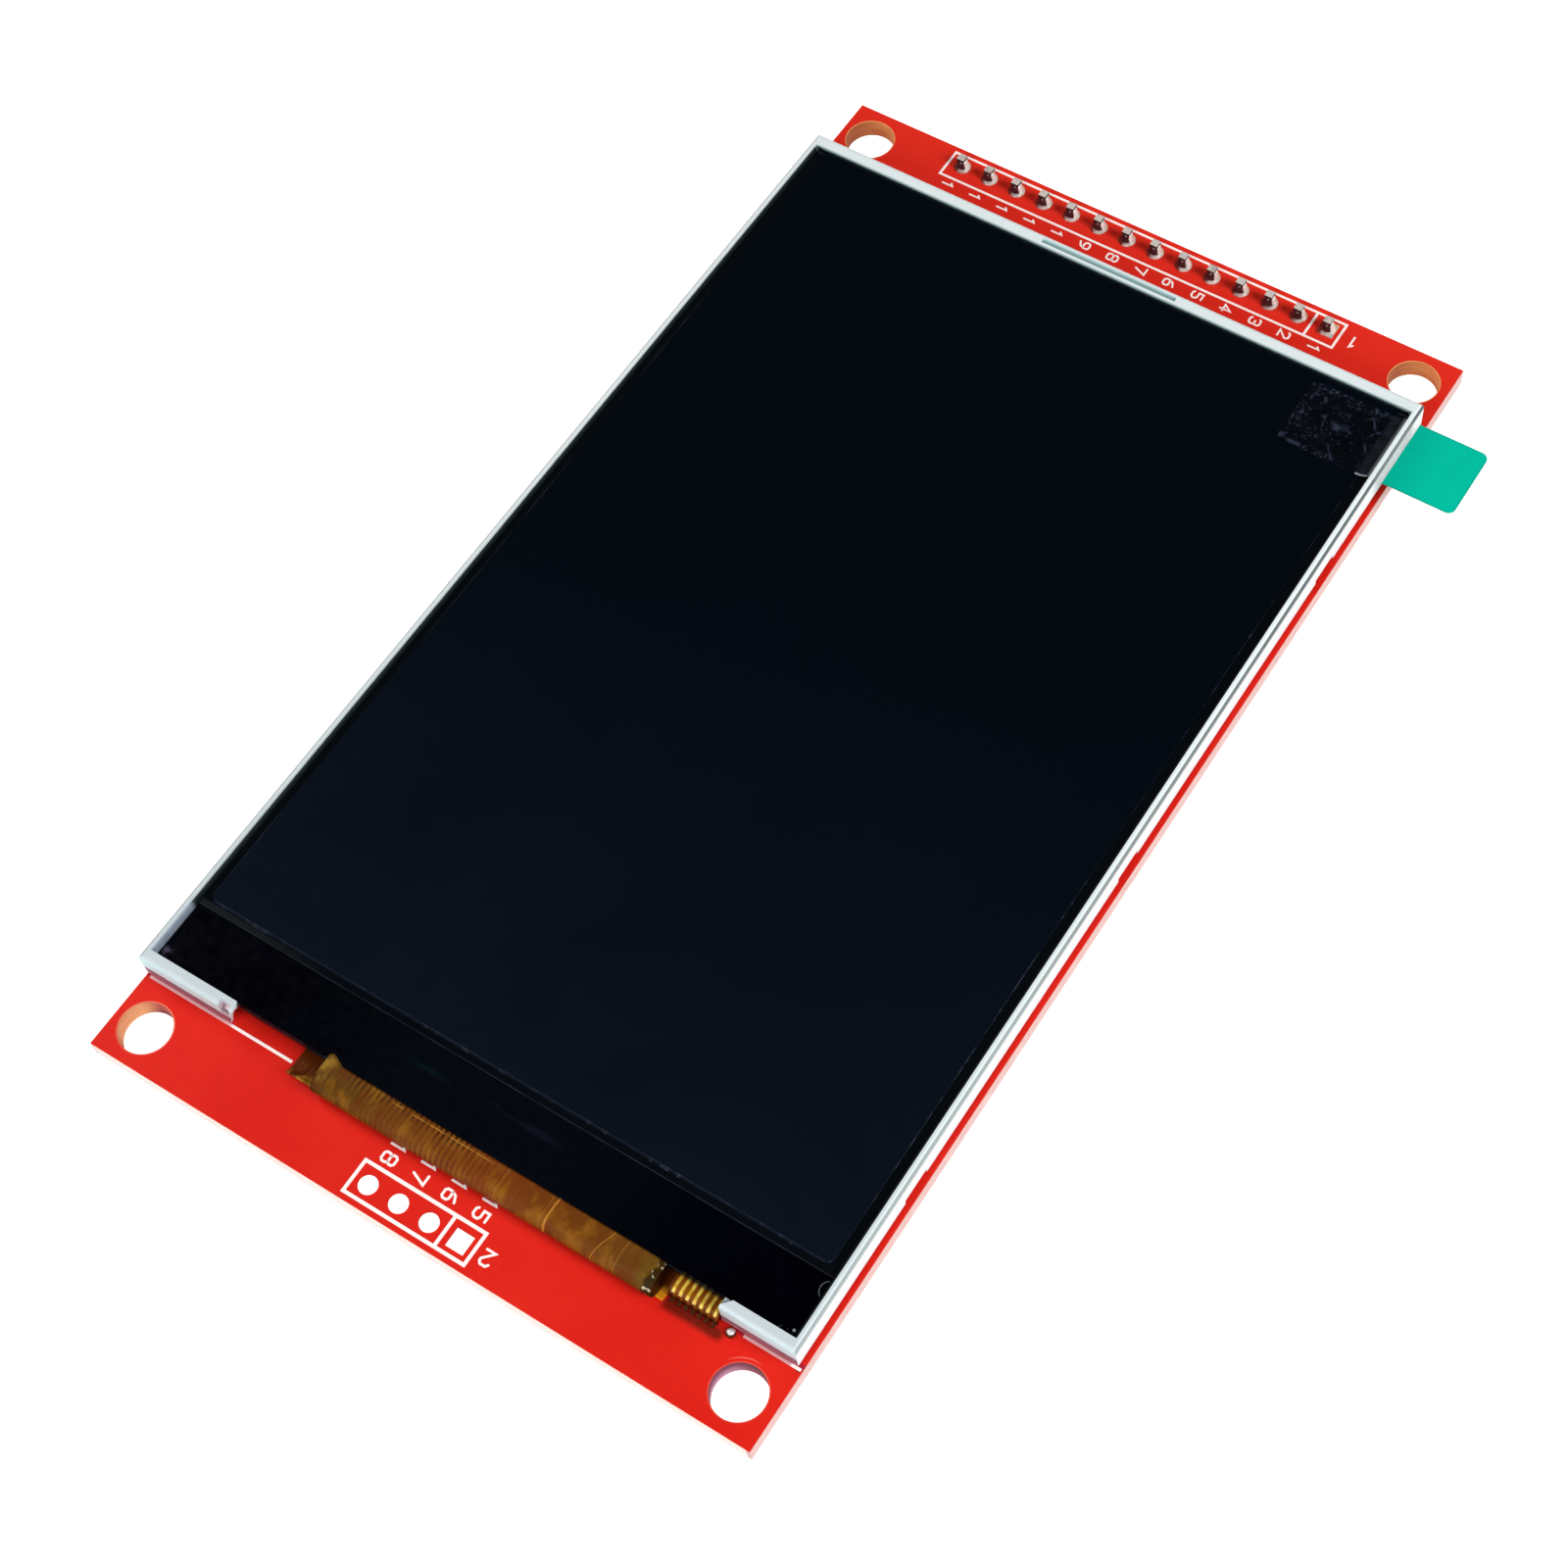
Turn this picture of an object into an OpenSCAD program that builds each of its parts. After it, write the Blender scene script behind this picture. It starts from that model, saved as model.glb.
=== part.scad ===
// Colour TFT display module, 3.5 inch class: a glass panel in a bent metal
// bezel, taped to a circuit board with a 14-pin header and a card socket.
// Millimetres. The origin is the centre of the four mounting holes, in the
// board's front face. +Z points out of the display, +Y to the 14-pin end.

/* [Board] */
// Width of the board
board_w = 54.4; // [54:0.1:57]
// Length of the board
board_l = 98; // [97.6:0.1:102]
// Thickness of the board
board_t = 1.6; // [1:0.1:2]
// Diameter of the four mounting holes
hole_d = 3.9; // [2.5:0.1:4.2]
// Spacing of the mounting holes across the board
hole_dx = 49.1; // [48.6:0.1:49.4]
// Spacing of the mounting holes along the board
hole_dy = 92.3; // [92:0.1:92.6]

/* [Display panel] */
// Width over the bezel
panel_w = 53.9; // [53.9:0.1:54.4]
// Length over the bezel
panel_l = 85.4; // [85.2:0.1:85.6]
// Thickness of the panel, from its back to the bezel's lip
panel_t = 2.5; // [2.4:0.05:2.8]
// Thickness of the foam tape under the panel
tape_t = 0.45; // [0.4:0.05:0.8]
// Thickness of the bezel's sheet metal
sheet_t = 0.2; // [0.15:0.01:0.22]
// Width of the bezel's lip along the two long sides
side_lip = 0.45; // [0.35:0.05:0.6]
// Width of the bezel's lip at the header end
head_lip = 1.05; // [0.9:0.05:1.2]
// Width of the bezel's lip at its two lower corners
foot_lip = 0.85; // [0.8:0.05:0.9]
// Outside radius of the bezel's bends
bend_r = 0.32; // [0.25:0.01:0.4]
// Length of the glass ledge that carries the driver chip
ledge_l = 4.65; // [4.2:0.05:5]

/* [Headers] */
// Number of pins in the long header
pin_count = 14; // [8:1:15]
// Pitch of both headers
pitch = 2.54; // [2.5:0.01:2.56]
// Side of the square pins
pin_w = 0.64; // [0.5:0.01:0.66]
// Length of the pins below their housing
pin_below = 6; // [3:0.5:9]
// Height of the pin tips above the board
pin_above = 1.15; // [0.8:0.05:1.4]
// Distance of the long header from the board's centre
header_y = 47.4; // [47.2:0.05:47.5]
// Distance of the card header from the board's centre
card_header_y = 47.3; // [47.2:0.05:47.5]
// Sideways place of the card header
card_header_x = -0.5; // [-2:0.1:2]
// Diameter of the plated holes
plated_d = 0.95; // [0.94:0.01:1]
// Diameter of the solder pads
pad_d = 1.4; // [1.3:0.05:1.7]

/* [Card socket] */
// Width of the card socket, along the board
socket_w = 28; // [27:0.5:30]
// Depth of the card socket, across the board
socket_d = 28.2; // [27:0.1:30]
// Height of the card socket
socket_h = 2.9; // [2.8:0.1:3.4]
// Place of the card socket along the board
socket_y = -22; // [-26:0.5:-14]
// Width of the card
card_w = 24; // [24:0.1:24.2]

/* [Pull tab] */
// Width of the pull tab
tab_w = 6.1; // [4:0.1:8]
// How far the pull tab reaches beyond the bezel
tab_out = 6.3; // [4:0.1:10]
// Place of the pull tab along the panel
tab_y = 37.6; // [20:0.1:37.9]

/* [Hidden] */
$fn = 64;
e = 0.01;
// Levels, from the board's front face up
z_back = tape_t;                    // panel's back
z_lip = tape_t + panel_t;           // top of the lip
z_guide = z_back + 0.07;            // light guide on its reflector
z_sheets = z_guide + 0.55;          // first optical sheet
z_rest = z_back + 0.95;             // shelf that carries the glass
z_glass = z_rest + 0.06;            // rear glass on the rim tape
z_upper = z_glass + 0.5;            // upper glass
z_front = z_upper + 0.5;            // front polariser
z_film = z_front + 0.13;            // protective film
film_t = 0.06;
tab_t = 0.1;
// Outline of the panel; its middle sits a little below the board's
px = panel_w / 2;
py1 = panel_l / 2 - 0.15;
py0 = py1 - panel_l;
// Inside of the bezel
ix = px - sheet_t;
iy0 = py0 + sheet_t;
iy1 = py1 - sheet_t;
// The opening where the flexible circuits leave
open_l = -18.65;
open_r = 21.1;
// The glass
gx = px - 0.75;
gy0 = py0 + 0.85;
gy1 = py1 - 1.0;
// Main flexible circuit
flex_l = -11.4;
flex_r = 16.4;
tail_l = -14.0;
tail_r = 17.0;
flex_t = 0.1;
flex_bend = (z_upper + flex_t) / 2; // outside radius of its bend
flex_y = gy0 - 1.1;                 // centre of its bend
// Backlight flexible circuit
lamp_l = 17.1;
lamp_r = 20.95;
lamp_z = z_sheets;
lamp_t = 0.1;
lamp_bend = 0.62;
lamp_n = 7;
lamp_pitch = 0.535;
// Underside of the board
z_under = -board_t;
// The routed outline stands this far to the right of the drilled holes
board_x = 0.08;

// Places of the long header's pins, pin 1 at the right
function pin_x(i) = ((pin_count - 1) / 2 - i) * pitch;
// Places of the card header's holes, pin 1 at the right
function card_x(i) = card_header_x + (1.5 - i) * pitch;
// Place of contact i of the backlight circuit
function lamp_x(i) = lamp_l + 0.25 + i * lamp_pitch;

// A box between two corners
module block(a, b) {
    translate(a) cube([b[0] - a[0], b[1] - a[1], b[2] - a[2]]);
}

// A flat shape in the Y-Z plane, drawn out along X from x0 to x1
module along_x(x0, x1) {
    translate([x0, 0, 0]) rotate([90, 0, 90]) linear_extrude(x1 - x0) children();
}

// A flat shape in the X-Z plane, drawn out along Y from y0 to y1
module along_y(y0, y1) {
    translate([0, y1, 0]) rotate([90, 0, 0]) linear_extrude(y1 - y0) children();
}

// A rectangle with its two upper corners rounded
module crown_2d(a0, a1, z0, z1, r) {
    translate([a0, z0]) square([a1 - a0, z1 - z0 - r]);
    translate([a0 + r, z0]) square([a1 - a0 - 2 * r, z1 - z0]);
    translate([a0 + r, z1 - r]) circle(r);
    translate([a1 - r, z1 - r]) circle(r);
}

// A block whose four upper edges are rounded, as a sheet folded down is
module crown(x0, x1, y0, y1, z0, z1, r) {
    intersection() {
        along_y(y0, y1) crown_2d(x0, x1, z0, z1, r);
        along_x(x0, x1) crown_2d(y0, y1, z0, z1, r);
    }
}

// A rectangle with rounded corners
module round_rect(x0, x1, y0, y1, r) {
    translate([x0 + r, y0]) square([x1 - x0 - 2 * r, y1 - y0]);
    translate([x0, y0 + r]) square([x1 - x0, y1 - y0 - 2 * r]);
    for (x = [x0 + r, x1 - r], y = [y0 + r, y1 - r])
        translate([x, y]) circle(r);
}

// ---- Board and headers ----

module pcb() {
    color([0.87, 0.11, 0.08])
    difference() {
        translate([board_x, 0, -board_t / 2])
            cube([board_w, board_l, board_t], center = true);
        for (x = [-1, 1], y = [-1, 1])
            translate([x * hole_dx / 2, y * hole_dy / 2, -board_t - 1])
                cylinder(d = hole_d, h = board_t + 2);
        for (i = [0 : pin_count - 1])
            translate([pin_x(i), header_y, -board_t - 1])
                cylinder(d = plated_d + 0.1, h = board_t + 2);
        for (i = [0 : 3])
            translate([card_x(i), -card_header_y, -board_t - 1])
                cylinder(d = plated_d + 0.1, h = board_t + 2);
    }
}

// A plated hole: barrel with a pad on the front and one on the back
module plated_hole(square_pad, back_pad = true) {
    difference() {
        union() {
            translate([0, 0, -board_t])
                cylinder(d = plated_d + 0.1, h = board_t);
            for (z = back_pad ? [0, -board_t - 0.05] : [0])
                translate([0, 0, z])
                    if (square_pad)
                        translate([-pad_d / 2, -pad_d / 2, 0])
                            cube([pad_d, pad_d, 0.05]);
                    else
                        cylinder(d = pad_d, h = 0.05);
        }
        translate([0, 0, -board_t - 1]) cylinder(d = plated_d, h = board_t + 2);
    }
}

module header_pads() {
    color([0.8, 0.8, 0.78])
    for (i = [0 : pin_count - 1])
        translate([pin_x(i), header_y, 0]) plated_hole(i == 0, false);
}

// A solder joint: fillet on the pad, and the fill of the plated hole
module solder_joint() {
    difference() {
        rotate_extrude() polygon([
            [0, -board_t], [plated_d / 2, -board_t], [plated_d / 2, 0.05],
            [pad_d / 2 - 0.04, 0.05], [pad_d / 2 - 0.1, 0.16],
            [0.52, 0.33], [0.45, 0.55], [0.42, 0.8], [0.3, 0.94], [0, 0.94]
        ]);
        translate([-pin_w / 2, -pin_w / 2, -board_t - 1])
            cube([pin_w, pin_w, board_t + 3]);
    }
}

module header_solder() {
    color([0.75, 0.76, 0.76])
    for (i = [0 : pin_count - 1])
        translate([pin_x(i), header_y, 0]) solder_joint();
}

module header_pins() {
    color([0.85, 0.72, 0.4])
    for (i = [0 : pin_count - 1])
        translate([pin_x(i), header_y, 0])
            block([-pin_w / 2, -pin_w / 2, z_under - 2.5 - pin_below],
                  [pin_w / 2, pin_w / 2, pin_above]);
}

module header_housing() {
    // One moulded strip of cells with bevelled corners, a pin through each
    color([0.08, 0.08, 0.09])
    difference() {
        translate([0, header_y, z_under - 2.5]) linear_extrude(2.5)
        difference() {
            square([pin_count * pitch, 2.5], center = true);
            for (i = [0 : pin_count], s = [-1, 1])
                translate([(pin_count / 2 - i) * pitch, s * 1.25])
                    rotate(45) square(0.7, center = true);
        }
        for (i = [0 : pin_count - 1])
            translate([pin_x(i) - pin_w / 2, header_y - pin_w / 2,
                       z_under - 4])
                cube([pin_w, pin_w, 6]);
    }
}

module card_header_pads() {
    color([0.92, 0.92, 0.9])
    for (i = [0 : 3])
        translate([card_x(i), -card_header_y, 0]) plated_hole(i == 0);
}

// ---- Panel ----

module lcd_bezel() {
    wx = px - side_lip;
    wy0 = py0 + foot_lip;
    wy1 = py1 - head_lip;
    color([0.84, 0.88, 0.88])
    difference() {
        crown(-px, px, py0, py1, z_back, z_lip, bend_r);
        crown(-ix, ix, iy0, iy1, z_back - 1, z_lip - sheet_t,
              bend_r - sheet_t);
        // window in the lip
        block([-wx, wy0, z_back], [wx, wy1, z_lip + 1]);
        // lip cut away over the opening
        translate([0, 0, z_back]) linear_extrude(panel_t + 1)
            polygon([[open_l - 0.25, wy0 + 1], [open_l - 0.25, wy0],
                     [open_l, wy0 - 0.4], [open_l, iy0],
                     [open_r, iy0], [open_r + 0.6, wy0],
                     [open_r + 0.6, wy0 + 1]]);
        // wall cut away over the opening
        along_y(py0 - 1, iy0 + 0.2)
            polygon([[open_l, z_lip + 1], [open_l, z_lip],
                     [open_l - 1.15, z_back - 1], [open_r, z_back - 1],
                     [open_r, z_lip + 1]]);
        // slot in the lip at the header end
        block([-5.8, py1 - 0.8, z_back], [6.1, py1 - 0.42, z_lip + 1]);
        // window on the bend of the left foot
        block([-19.75, py0 - 1, z_lip - 0.8], [-19.02, py0 + 0.32, z_lip + 1]);
        // locking notches along the foot of the long walls
        for (y = [25.9, -2.6, -30.1], s = [-1, 1])
            block([s * px - 1, y, z_back - 1],
                  [s * px + 1, y + 2.6, z_back + 0.45]);
    }
}

module backlight_frame() {
    ox = 25.2;            // opening for the light guide
    oy0 = py0 + 2.15;
    oy1 = py1 - 2.25;
    color([0.93, 0.94, 0.93])
    difference() {
        block([-ix, iy0, z_guide], [ix, iy1, z_lip - sheet_t]);
        // the bezel's inner bend
        difference() {
            block([-ix - 1, iy0 - 1, z_lip - sheet_t - 0.3],
                  [ix + 1, iy1 + 1, z_lip]);
            crown(-ix, ix, iy0, iy1, z_back, z_lip - sheet_t,
                  bend_r - sheet_t);
        }
        // opening
        block([-ox, oy0, z_back - 1], [ox, oy1, z_lip + 1]);
        // pocket for the glass
        block([-gx - 0.1, gy0 - 0.05, z_rest], [gx + 0.1, gy1 + 0.1, z_lip + 1]);
        // set back under the ledge, where the circuits leave
        block([open_l - 1.15, py0 - 1, z_back - 1],
              [open_r, py0 + 1.45, z_lip + 1]);
        // way out for the backlight circuit
        block([lamp_l - 0.05, py0 - 1, lamp_z], [lamp_r + 0.05, oy0 + 1, z_lip]);
        // fillet of the pocket's two outer corners
        for (s = [-1, 1])
            translate([s * (gx + 0.1), gy1 + 0.1, z_rest])
                cylinder(r = 0.25, h = 3);
    }
}

module reflector_sheet() {
    color([0.96, 0.96, 0.97])
        block([-ix + 0.1, py0 + 1.6, z_back], [ix - 0.1, iy1 - 0.1, z_guide]);
}

module light_guide() {
    color([0.8, 0.88, 0.9, 0.6])
        block([-25.1, py0 + 2.85, z_guide], [25.1, py1 - 2.35, z_sheets]);
}

// One optical sheet, counted from the light guide up
module optical_sheet(i) {
    block([-25.1, py0 + 3.85, z_sheets + 0.07 * i],
          [25.1, py1 - 2.35, z_sheets + 0.07 * (i + 1)]);
    // ear that keys it in the frame
    block([-25.1, py0 + 3.45, z_sheets + 0.07 * i],
          [-23.6 + i * 0.8, py0 + 3.85, z_sheets + 0.07 * (i + 1)]);
}

module diffuser_sheet() { color([0.95, 0.96, 0.96]) optical_sheet(0); }
module lower_prism_sheet() { color([0.86, 0.9, 0.92]) optical_sheet(1); }
module upper_prism_sheet() { color([0.88, 0.9, 0.94]) optical_sheet(2); }

module rim_tape() {
    color([0.05, 0.05, 0.05])
    difference() {
        block([-gx, py0 + 1.5, z_rest], [gx, gy1, z_glass]);
        block([-25.3, py0 + 2.1, z_rest - 1], [25.3, py1 - 2.2, z_glass + 1]);
        block([lamp_l - 0.05, py0, z_rest - 1], [lamp_r + 0.05, py0 + 3, z_glass + 1]);
    }
}

module backlight_leds() {
    color([0.98, 0.95, 0.7])
    for (i = [0 : 5])
        block([(i - 2.5) * 7.4 - 1.9 , py0 + 2.2, z_guide],
              [(i - 2.5) * 7.4 + 1.9, py0 + 2.8, z_sheets]);
}

module rear_polariser() {
    color([0.12, 0.12, 0.14])
        block([-25.2, py0 + 4.4, z_glass - 0.12], [25.2, py1 - 2.3, z_glass]);
}

module tft_glass() {
    color([0.1, 0.13, 0.14, 0.9])
        block([-gx, gy0, z_glass], [gx, gy1, z_upper]);
}

module colour_filter_glass() {
    color([0.04, 0.05, 0.07])
        block([-gx, gy0 + ledge_l, z_upper], [gx, gy1, z_front]);
}

module front_polariser() {
    color([0.02, 0.03, 0.05])
    translate([0, 0, z_front]) linear_extrude(z_film - z_front)
        round_rect(-gx + 0.7, gx - 0.7, gy0 + ledge_l + 0.5, gy1 - 0.3, 0.5);
}

module protective_film() {
    color([0.03, 0.05, 0.08])
    translate([0, 0, z_film]) linear_extrude(film_t)
        round_rect(-gx + 0.55, gx - 0.55, gy0 + ledge_l + 0.62, gy1 - 0.2, 0.6);
}

module pull_tab() {
    // Clear sticky part on the film, a step over the lip, and the handle
    z0 = z_film + film_t;
    y0 = tab_y - tab_w / 2;
    color([0.0, 0.73, 0.61])
    intersection() {
        along_y(y0, y0 + tab_w)
            polygon([
                [18.8, z0], [gx - 0.55, z0], [px - side_lip, z_lip],
                [px + tab_out, z_lip], [px + tab_out, z_lip + tab_t],
                [px - side_lip - 0.05, z_lip + tab_t],
                [gx - 0.58, z0 + tab_t], [18.8, z0 + tab_t]
            ]);
        translate([0, 0, z_back]) linear_extrude(panel_t + 1)
            round_rect(18.8, px + tab_out, y0, y0 + tab_w, 0.7);
    }
}

module driver_chip() {
    color([0.25, 0.27, 0.3])
        block([-11, gy0 + 2.2, z_upper], [11, gy0 + 3.4, z_upper + 0.28]);
}

module ledge_cover() {
    color([0.01, 0.01, 0.015])
    difference() {
        translate([0, 0, z_upper]) linear_extrude(0.4) difference() {
            translate([-gx + 0.1, gy0 + 0.06])
                square([2 * gx - 0.2, ledge_l - 0.06]);
            // nick that leaves the corner of the flexible circuit bare
            polygon([[flex_l - 0.3, gy0 - 1], [flex_l - 0.3, gy0 + 0.1],
                     [flex_l + 0.25, gy0 + 0.6], [flex_l + 1.4, gy0 + 0.06],
                     [flex_l + 1.4, gy0 - 1]]);
        }
        block([-11, gy0 + 2.2, z_upper - 1], [11, gy0 + 3.4, z_upper + 0.28]);
        block([flex_l, gy0 - 1, z_upper - 1],
              [flex_r, gy0 + 1.3, z_upper + flex_t]);
    }
}

// Side view of the main circuit's bend, from the ledge round to the board
module flex_2d(top_limb = true) {
    r1 = flex_bend;
    r0 = flex_bend - flex_t;
    if (top_limb)
        translate([flex_y, z_upper]) square([gy0 + 1.3 - flex_y, flex_t]);
    translate([flex_y, 0]) square([py0 + 10.5 - flex_y, flex_t]);
    intersection() {
        translate([flex_y, r1]) difference() {
            circle(r1);
            circle(r0);
        }
        translate([flex_y - 3, -1])
            square([3, top_limb ? 6 : 1.25]);
    }
}

module main_flex() {
    color([0.58, 0.36, 0.1]) {
        along_x(flex_l, flex_r) flex_2d();
        // wider tail, cut short at the bend
        along_x(tail_l, flex_l) flex_2d(false);
        along_x(flex_r, tail_r) flex_2d(false);
    }
}

module tail_solder() {
    color([0.78, 0.79, 0.8])
    for (i = [0 : 37])
        block([tail_l + 0.6 + i * 0.8, py0 + 8.8, flex_t],
              [tail_l + 1.0 + i * 0.8, py0 + 10.3, flex_t + 0.08]);
}

// Side view of the backlight circuit's tail; t0 and t1 are heights
// above its underside
module lamp_2d(t0, t1, y_in, full = true) {
    yb = py0 + 0.35;
    r = lamp_bend;
    zc = lamp_z - r;
    translate([yb, lamp_z + t0]) square([y_in - yb, t1 - t0]);
    intersection() {
        translate([yb, zc]) difference() {
            circle(r + t1);
            circle(r + t0);
        }
        translate([yb - 3, zc]) polygon(full
            ? [[0, 0], [3, 0], [3, 3], [0, 3]]
            : [[3, 0], [3, 3], [-0.5, 3]]);
    }
    if (full)
        translate([yb - r - t1, 0.02]) square([t1 - t0, zc - 0.02]);
}

module backlight_flex() {
    color([0.55, 0.33, 0.09]) {
        // strip over the lamps
        block([-21.5, py0 + 2.2, lamp_z],
              [lamp_r, py0 + 3.4, lamp_z + lamp_t]);
        // tail down to the board
        along_x(lamp_l, lamp_r) lamp_2d(0, lamp_t, py0 + 3.4);
    }
}

module backlight_contacts() {
    color([0.9, 0.7, 0.2])
    for (i = [0 : lamp_n - 1])
        along_x(lamp_x(i), lamp_x(i) + 0.28)
            lamp_2d(lamp_t, lamp_t + 0.05, py0 + 1.9, false);
}

module flex_solder() {
    yb = py0 + 0.35;
    color([0.8, 0.81, 0.82]) {
        // foot of the tail on the board
        for (i = [0 : lamp_n - 1])
            block([lamp_x(i), yb - lamp_bend - lamp_t - 0.28, 0],
                  [lamp_x(i) + 0.3, yb - lamp_bend - lamp_t, 0.22]);
        // bead beside it
        translate([lamp_r + 1.0, py0 - 0.35, 0]) intersection() {
            sphere(r = 0.36);
            translate([-1, -1, 0]) cube(2);
        }
    }
}

module foam_tape() {
    color([0.85, 0.83, 0.84])
    for (s = [[-26.2, -21.2], [22.0, 26.2]])
        block([s[0], py0 + 0.3, 0], [s[1], py1 - 5.4, tape_t]);
    color([0.85, 0.83, 0.84])
        block([-26.2, py1 - 5.2, 0], [26.2, py1 - 0.4, tape_t]);
}

// ---- Back of the board ----

// Card socket, mouth at the board's left edge
module card_socket_base() {
    x0 = -board_w / 2;
    x1 = x0 + socket_d;
    y0 = socket_y - socket_w / 2;
    y1 = socket_y + socket_w / 2;
    z0 = z_under - socket_h + sheet_t;
    color([0.1, 0.1, 0.11])
    difference() {
        block([x0 + 1.2, y0 + sheet_t, z0], [x1, y1 - sheet_t, z_under]);
        // bay for the card
        block([x0 - 1, socket_y - card_w / 2 - 0.1, z0 - 1],
              [x1 - 3.4, socket_y + card_w / 2 + 0.1, z_under - 0.35]);
        // finger gap in the floor
        translate([x0 + 1.2, socket_y, z_under - 3])
            cylinder(r = 7, h = 6);
        // channels for the nine contacts
        for (i = [0 : 8])
            block([x1 - 4, contact_y(i) - 0.45, z_under - 1.0],
                  [x1 + 1, contact_y(i) + 0.45, z_under + 1]);
    }
}

// Place of socket contact i
function contact_y(i) = socket_y + (i - 4) * 2.5;

module card_socket_shell() {
    x0 = -board_w / 2;
    x1 = x0 + socket_d;
    y0 = socket_y - socket_w / 2;
    y1 = socket_y + socket_w / 2;
    z0 = z_under - socket_h;
    t = sheet_t;
    color([0.78, 0.79, 0.8])
    difference() {
        union() {
            difference() {
                block([x0, y0, z0], [x1 - 0.6, y1, z_under]);
                block([x0 - 1, y0 + t, z0 + t], [x1, y1 - t, z_under + 1]);
            }
            // solder feet
            for (x = [x0 + 2, x1 - 4])
                for (s = [0, 1])
                    block([x, s ? y1 : y0 - 0.9, z_under - t],
                          [x + 2, s ? y1 + 0.9 : y0, z_under]);
        }
        // stepped mouth
        translate([x0 - 0.01, socket_y, z0 - 1]) linear_extrude(t + 1.01)
            polygon([[-1, -9], [1.4, -9], [2.6, -7.8], [2.6, 7.8],
                     [1.4, 9], [-1, 9]]);
        // two inspection windows with spring tongues between
        for (s = [-1, 1]) {
            block([x0 + 8, socket_y + s * 6.5 - 1.6, z0 - 1],
                  [x0 + 14, socket_y + s * 6.5 - 1.1, z0 + t + 0.01]);
            block([x0 + 8, socket_y + s * 6.5 + 1.1, z0 - 1],
                  [x0 + 14, socket_y + s * 6.5 + 1.6, z0 + t + 0.01]);
            block([x0 + 7.5, socket_y + s * 6.5 - 1.6, z0 - 1],
                  [x0 + 8, socket_y + s * 6.5 + 1.6, z0 + t + 0.01]);
        }
        // round tooling hole
        translate([x1 - 7, socket_y, z0 - 1]) cylinder(d = 1.6, h = t + 1.01);
    }
}

module card_socket_contacts() {
    x1 = -board_w / 2 + socket_d;
    zt = z_under;
    color([0.9, 0.75, 0.35])
    for (i = [0 : 8])
        along_y(contact_y(i) - 0.4, contact_y(i) + 0.4)
            polygon([
                [x1 + 1.1, zt], [x1 + 1.1, zt - 0.15], [x1 + 0.2, zt - 0.15],
                [x1 - 0.05, zt - 0.55], [x1 - 3.4, zt - 0.55],
                [x1 - 8.6, zt - 1.3], [x1 - 9.2, zt - 1.05],
                [x1 - 9.1, zt - 0.95], [x1 - 8.6, zt - 1.15],
                [x1 - 3.4, zt - 0.4], [x1 + 0.02, zt - 0.4],
                [x1 + 0.15, zt]
            ]);
}

// A small plastic package with leads on two sides, under the board.
// l along X, w across, h high; n1 leads at +Y, n2 at -Y
module package(l, w, h, n1, n2, gap, lead) {
    difference() {
        block([-l / 2, -w / 2, z_under - h], [l / 2, w / 2, z_under - 0.1]);
        translate([-l / 2 + 0.4, -w / 2 + 0.35, z_under - h - 0.95])
            cylinder(d = 0.3, h = 1);
    }
    for (s = [[1, n1], [-1, n2]])
        for (i = [0 : s[1] - 1])
            translate([(i - (s[1] - 1) / 2) * gap, 0, 0])
                mirror([0, s[0] < 0 ? 1 : 0, 0])
                    along_x(-lead / 2, lead / 2)
                        polygon([
                            [w / 2 - 0.1, z_under - 0.55],
                            [w / 2 + 0.22, z_under - 0.55],
                            [w / 2 + 0.32, z_under - 0.15],
                            [w / 2 + 0.65, z_under - 0.15],
                            [w / 2 + 0.65, z_under],
                            [w / 2 + 0.2, z_under],
                            [w / 2 + 0.12, z_under - 0.4],
                            [w / 2 - 0.1, z_under - 0.4]
                        ]);
}

module voltage_regulator() {
    color([0.12, 0.12, 0.13])
        translate([13, 40, 0]) package(2.9, 1.6, 1.1, 3, 2, 0.95, 0.4);
}

module backlight_transistor() {
    color([0.12, 0.12, 0.13])
        translate([-12.5, 40, 0]) package(2.9, 1.3, 1.0, 2, 1, 1.9, 0.42);
}

// Places of the chip resistors and capacitors: x, y, turned or not
resistor_at = [[-8.5, 40, 1], [-6.5, 40, 1], [-4.5, 40, 1], [-2.5, 40, 1],
               [-8, -42, 0], [-5, -42, 0], [-2, -42, 0], [1, -42, 0]];
capacitor_at = [[8.8, 40, 1], [17, 40, 1], [1.5, 40, 1], [4.6, -41.2, 1]];

module chips(places, h) {
    for (p = places)
        translate([p[0], p[1], z_under - h]) rotate(p[2] * 90) {
            translate([-0.8, -0.4, 0]) cube([1.6, 0.8, h]);
        }
}

module resistors() { color([0.12, 0.12, 0.13]) chips(resistor_at, 0.45); }
module capacitors() { color([0.62, 0.5, 0.36]) chips(capacitor_at, 0.8); }

pcb();
header_pads();
header_solder();
header_pins();
header_housing();
card_header_pads();
lcd_bezel();
backlight_frame();
reflector_sheet();
light_guide();
diffuser_sheet();
lower_prism_sheet();
upper_prism_sheet();
rim_tape();
backlight_leds();
rear_polariser();
tft_glass();
colour_filter_glass();
front_polariser();
protective_film();
pull_tab();
driver_chip();
ledge_cover();
main_flex();
tail_solder();
backlight_flex();
backlight_contacts();
flex_solder();
foam_tape();
card_socket_base();
card_socket_shell();
card_socket_contacts();
voltage_regulator();
backlight_transistor();
resistors();
capacitors();
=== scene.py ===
import math
import random

import bmesh
import bpy
from mathutils import Matrix, Vector


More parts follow.
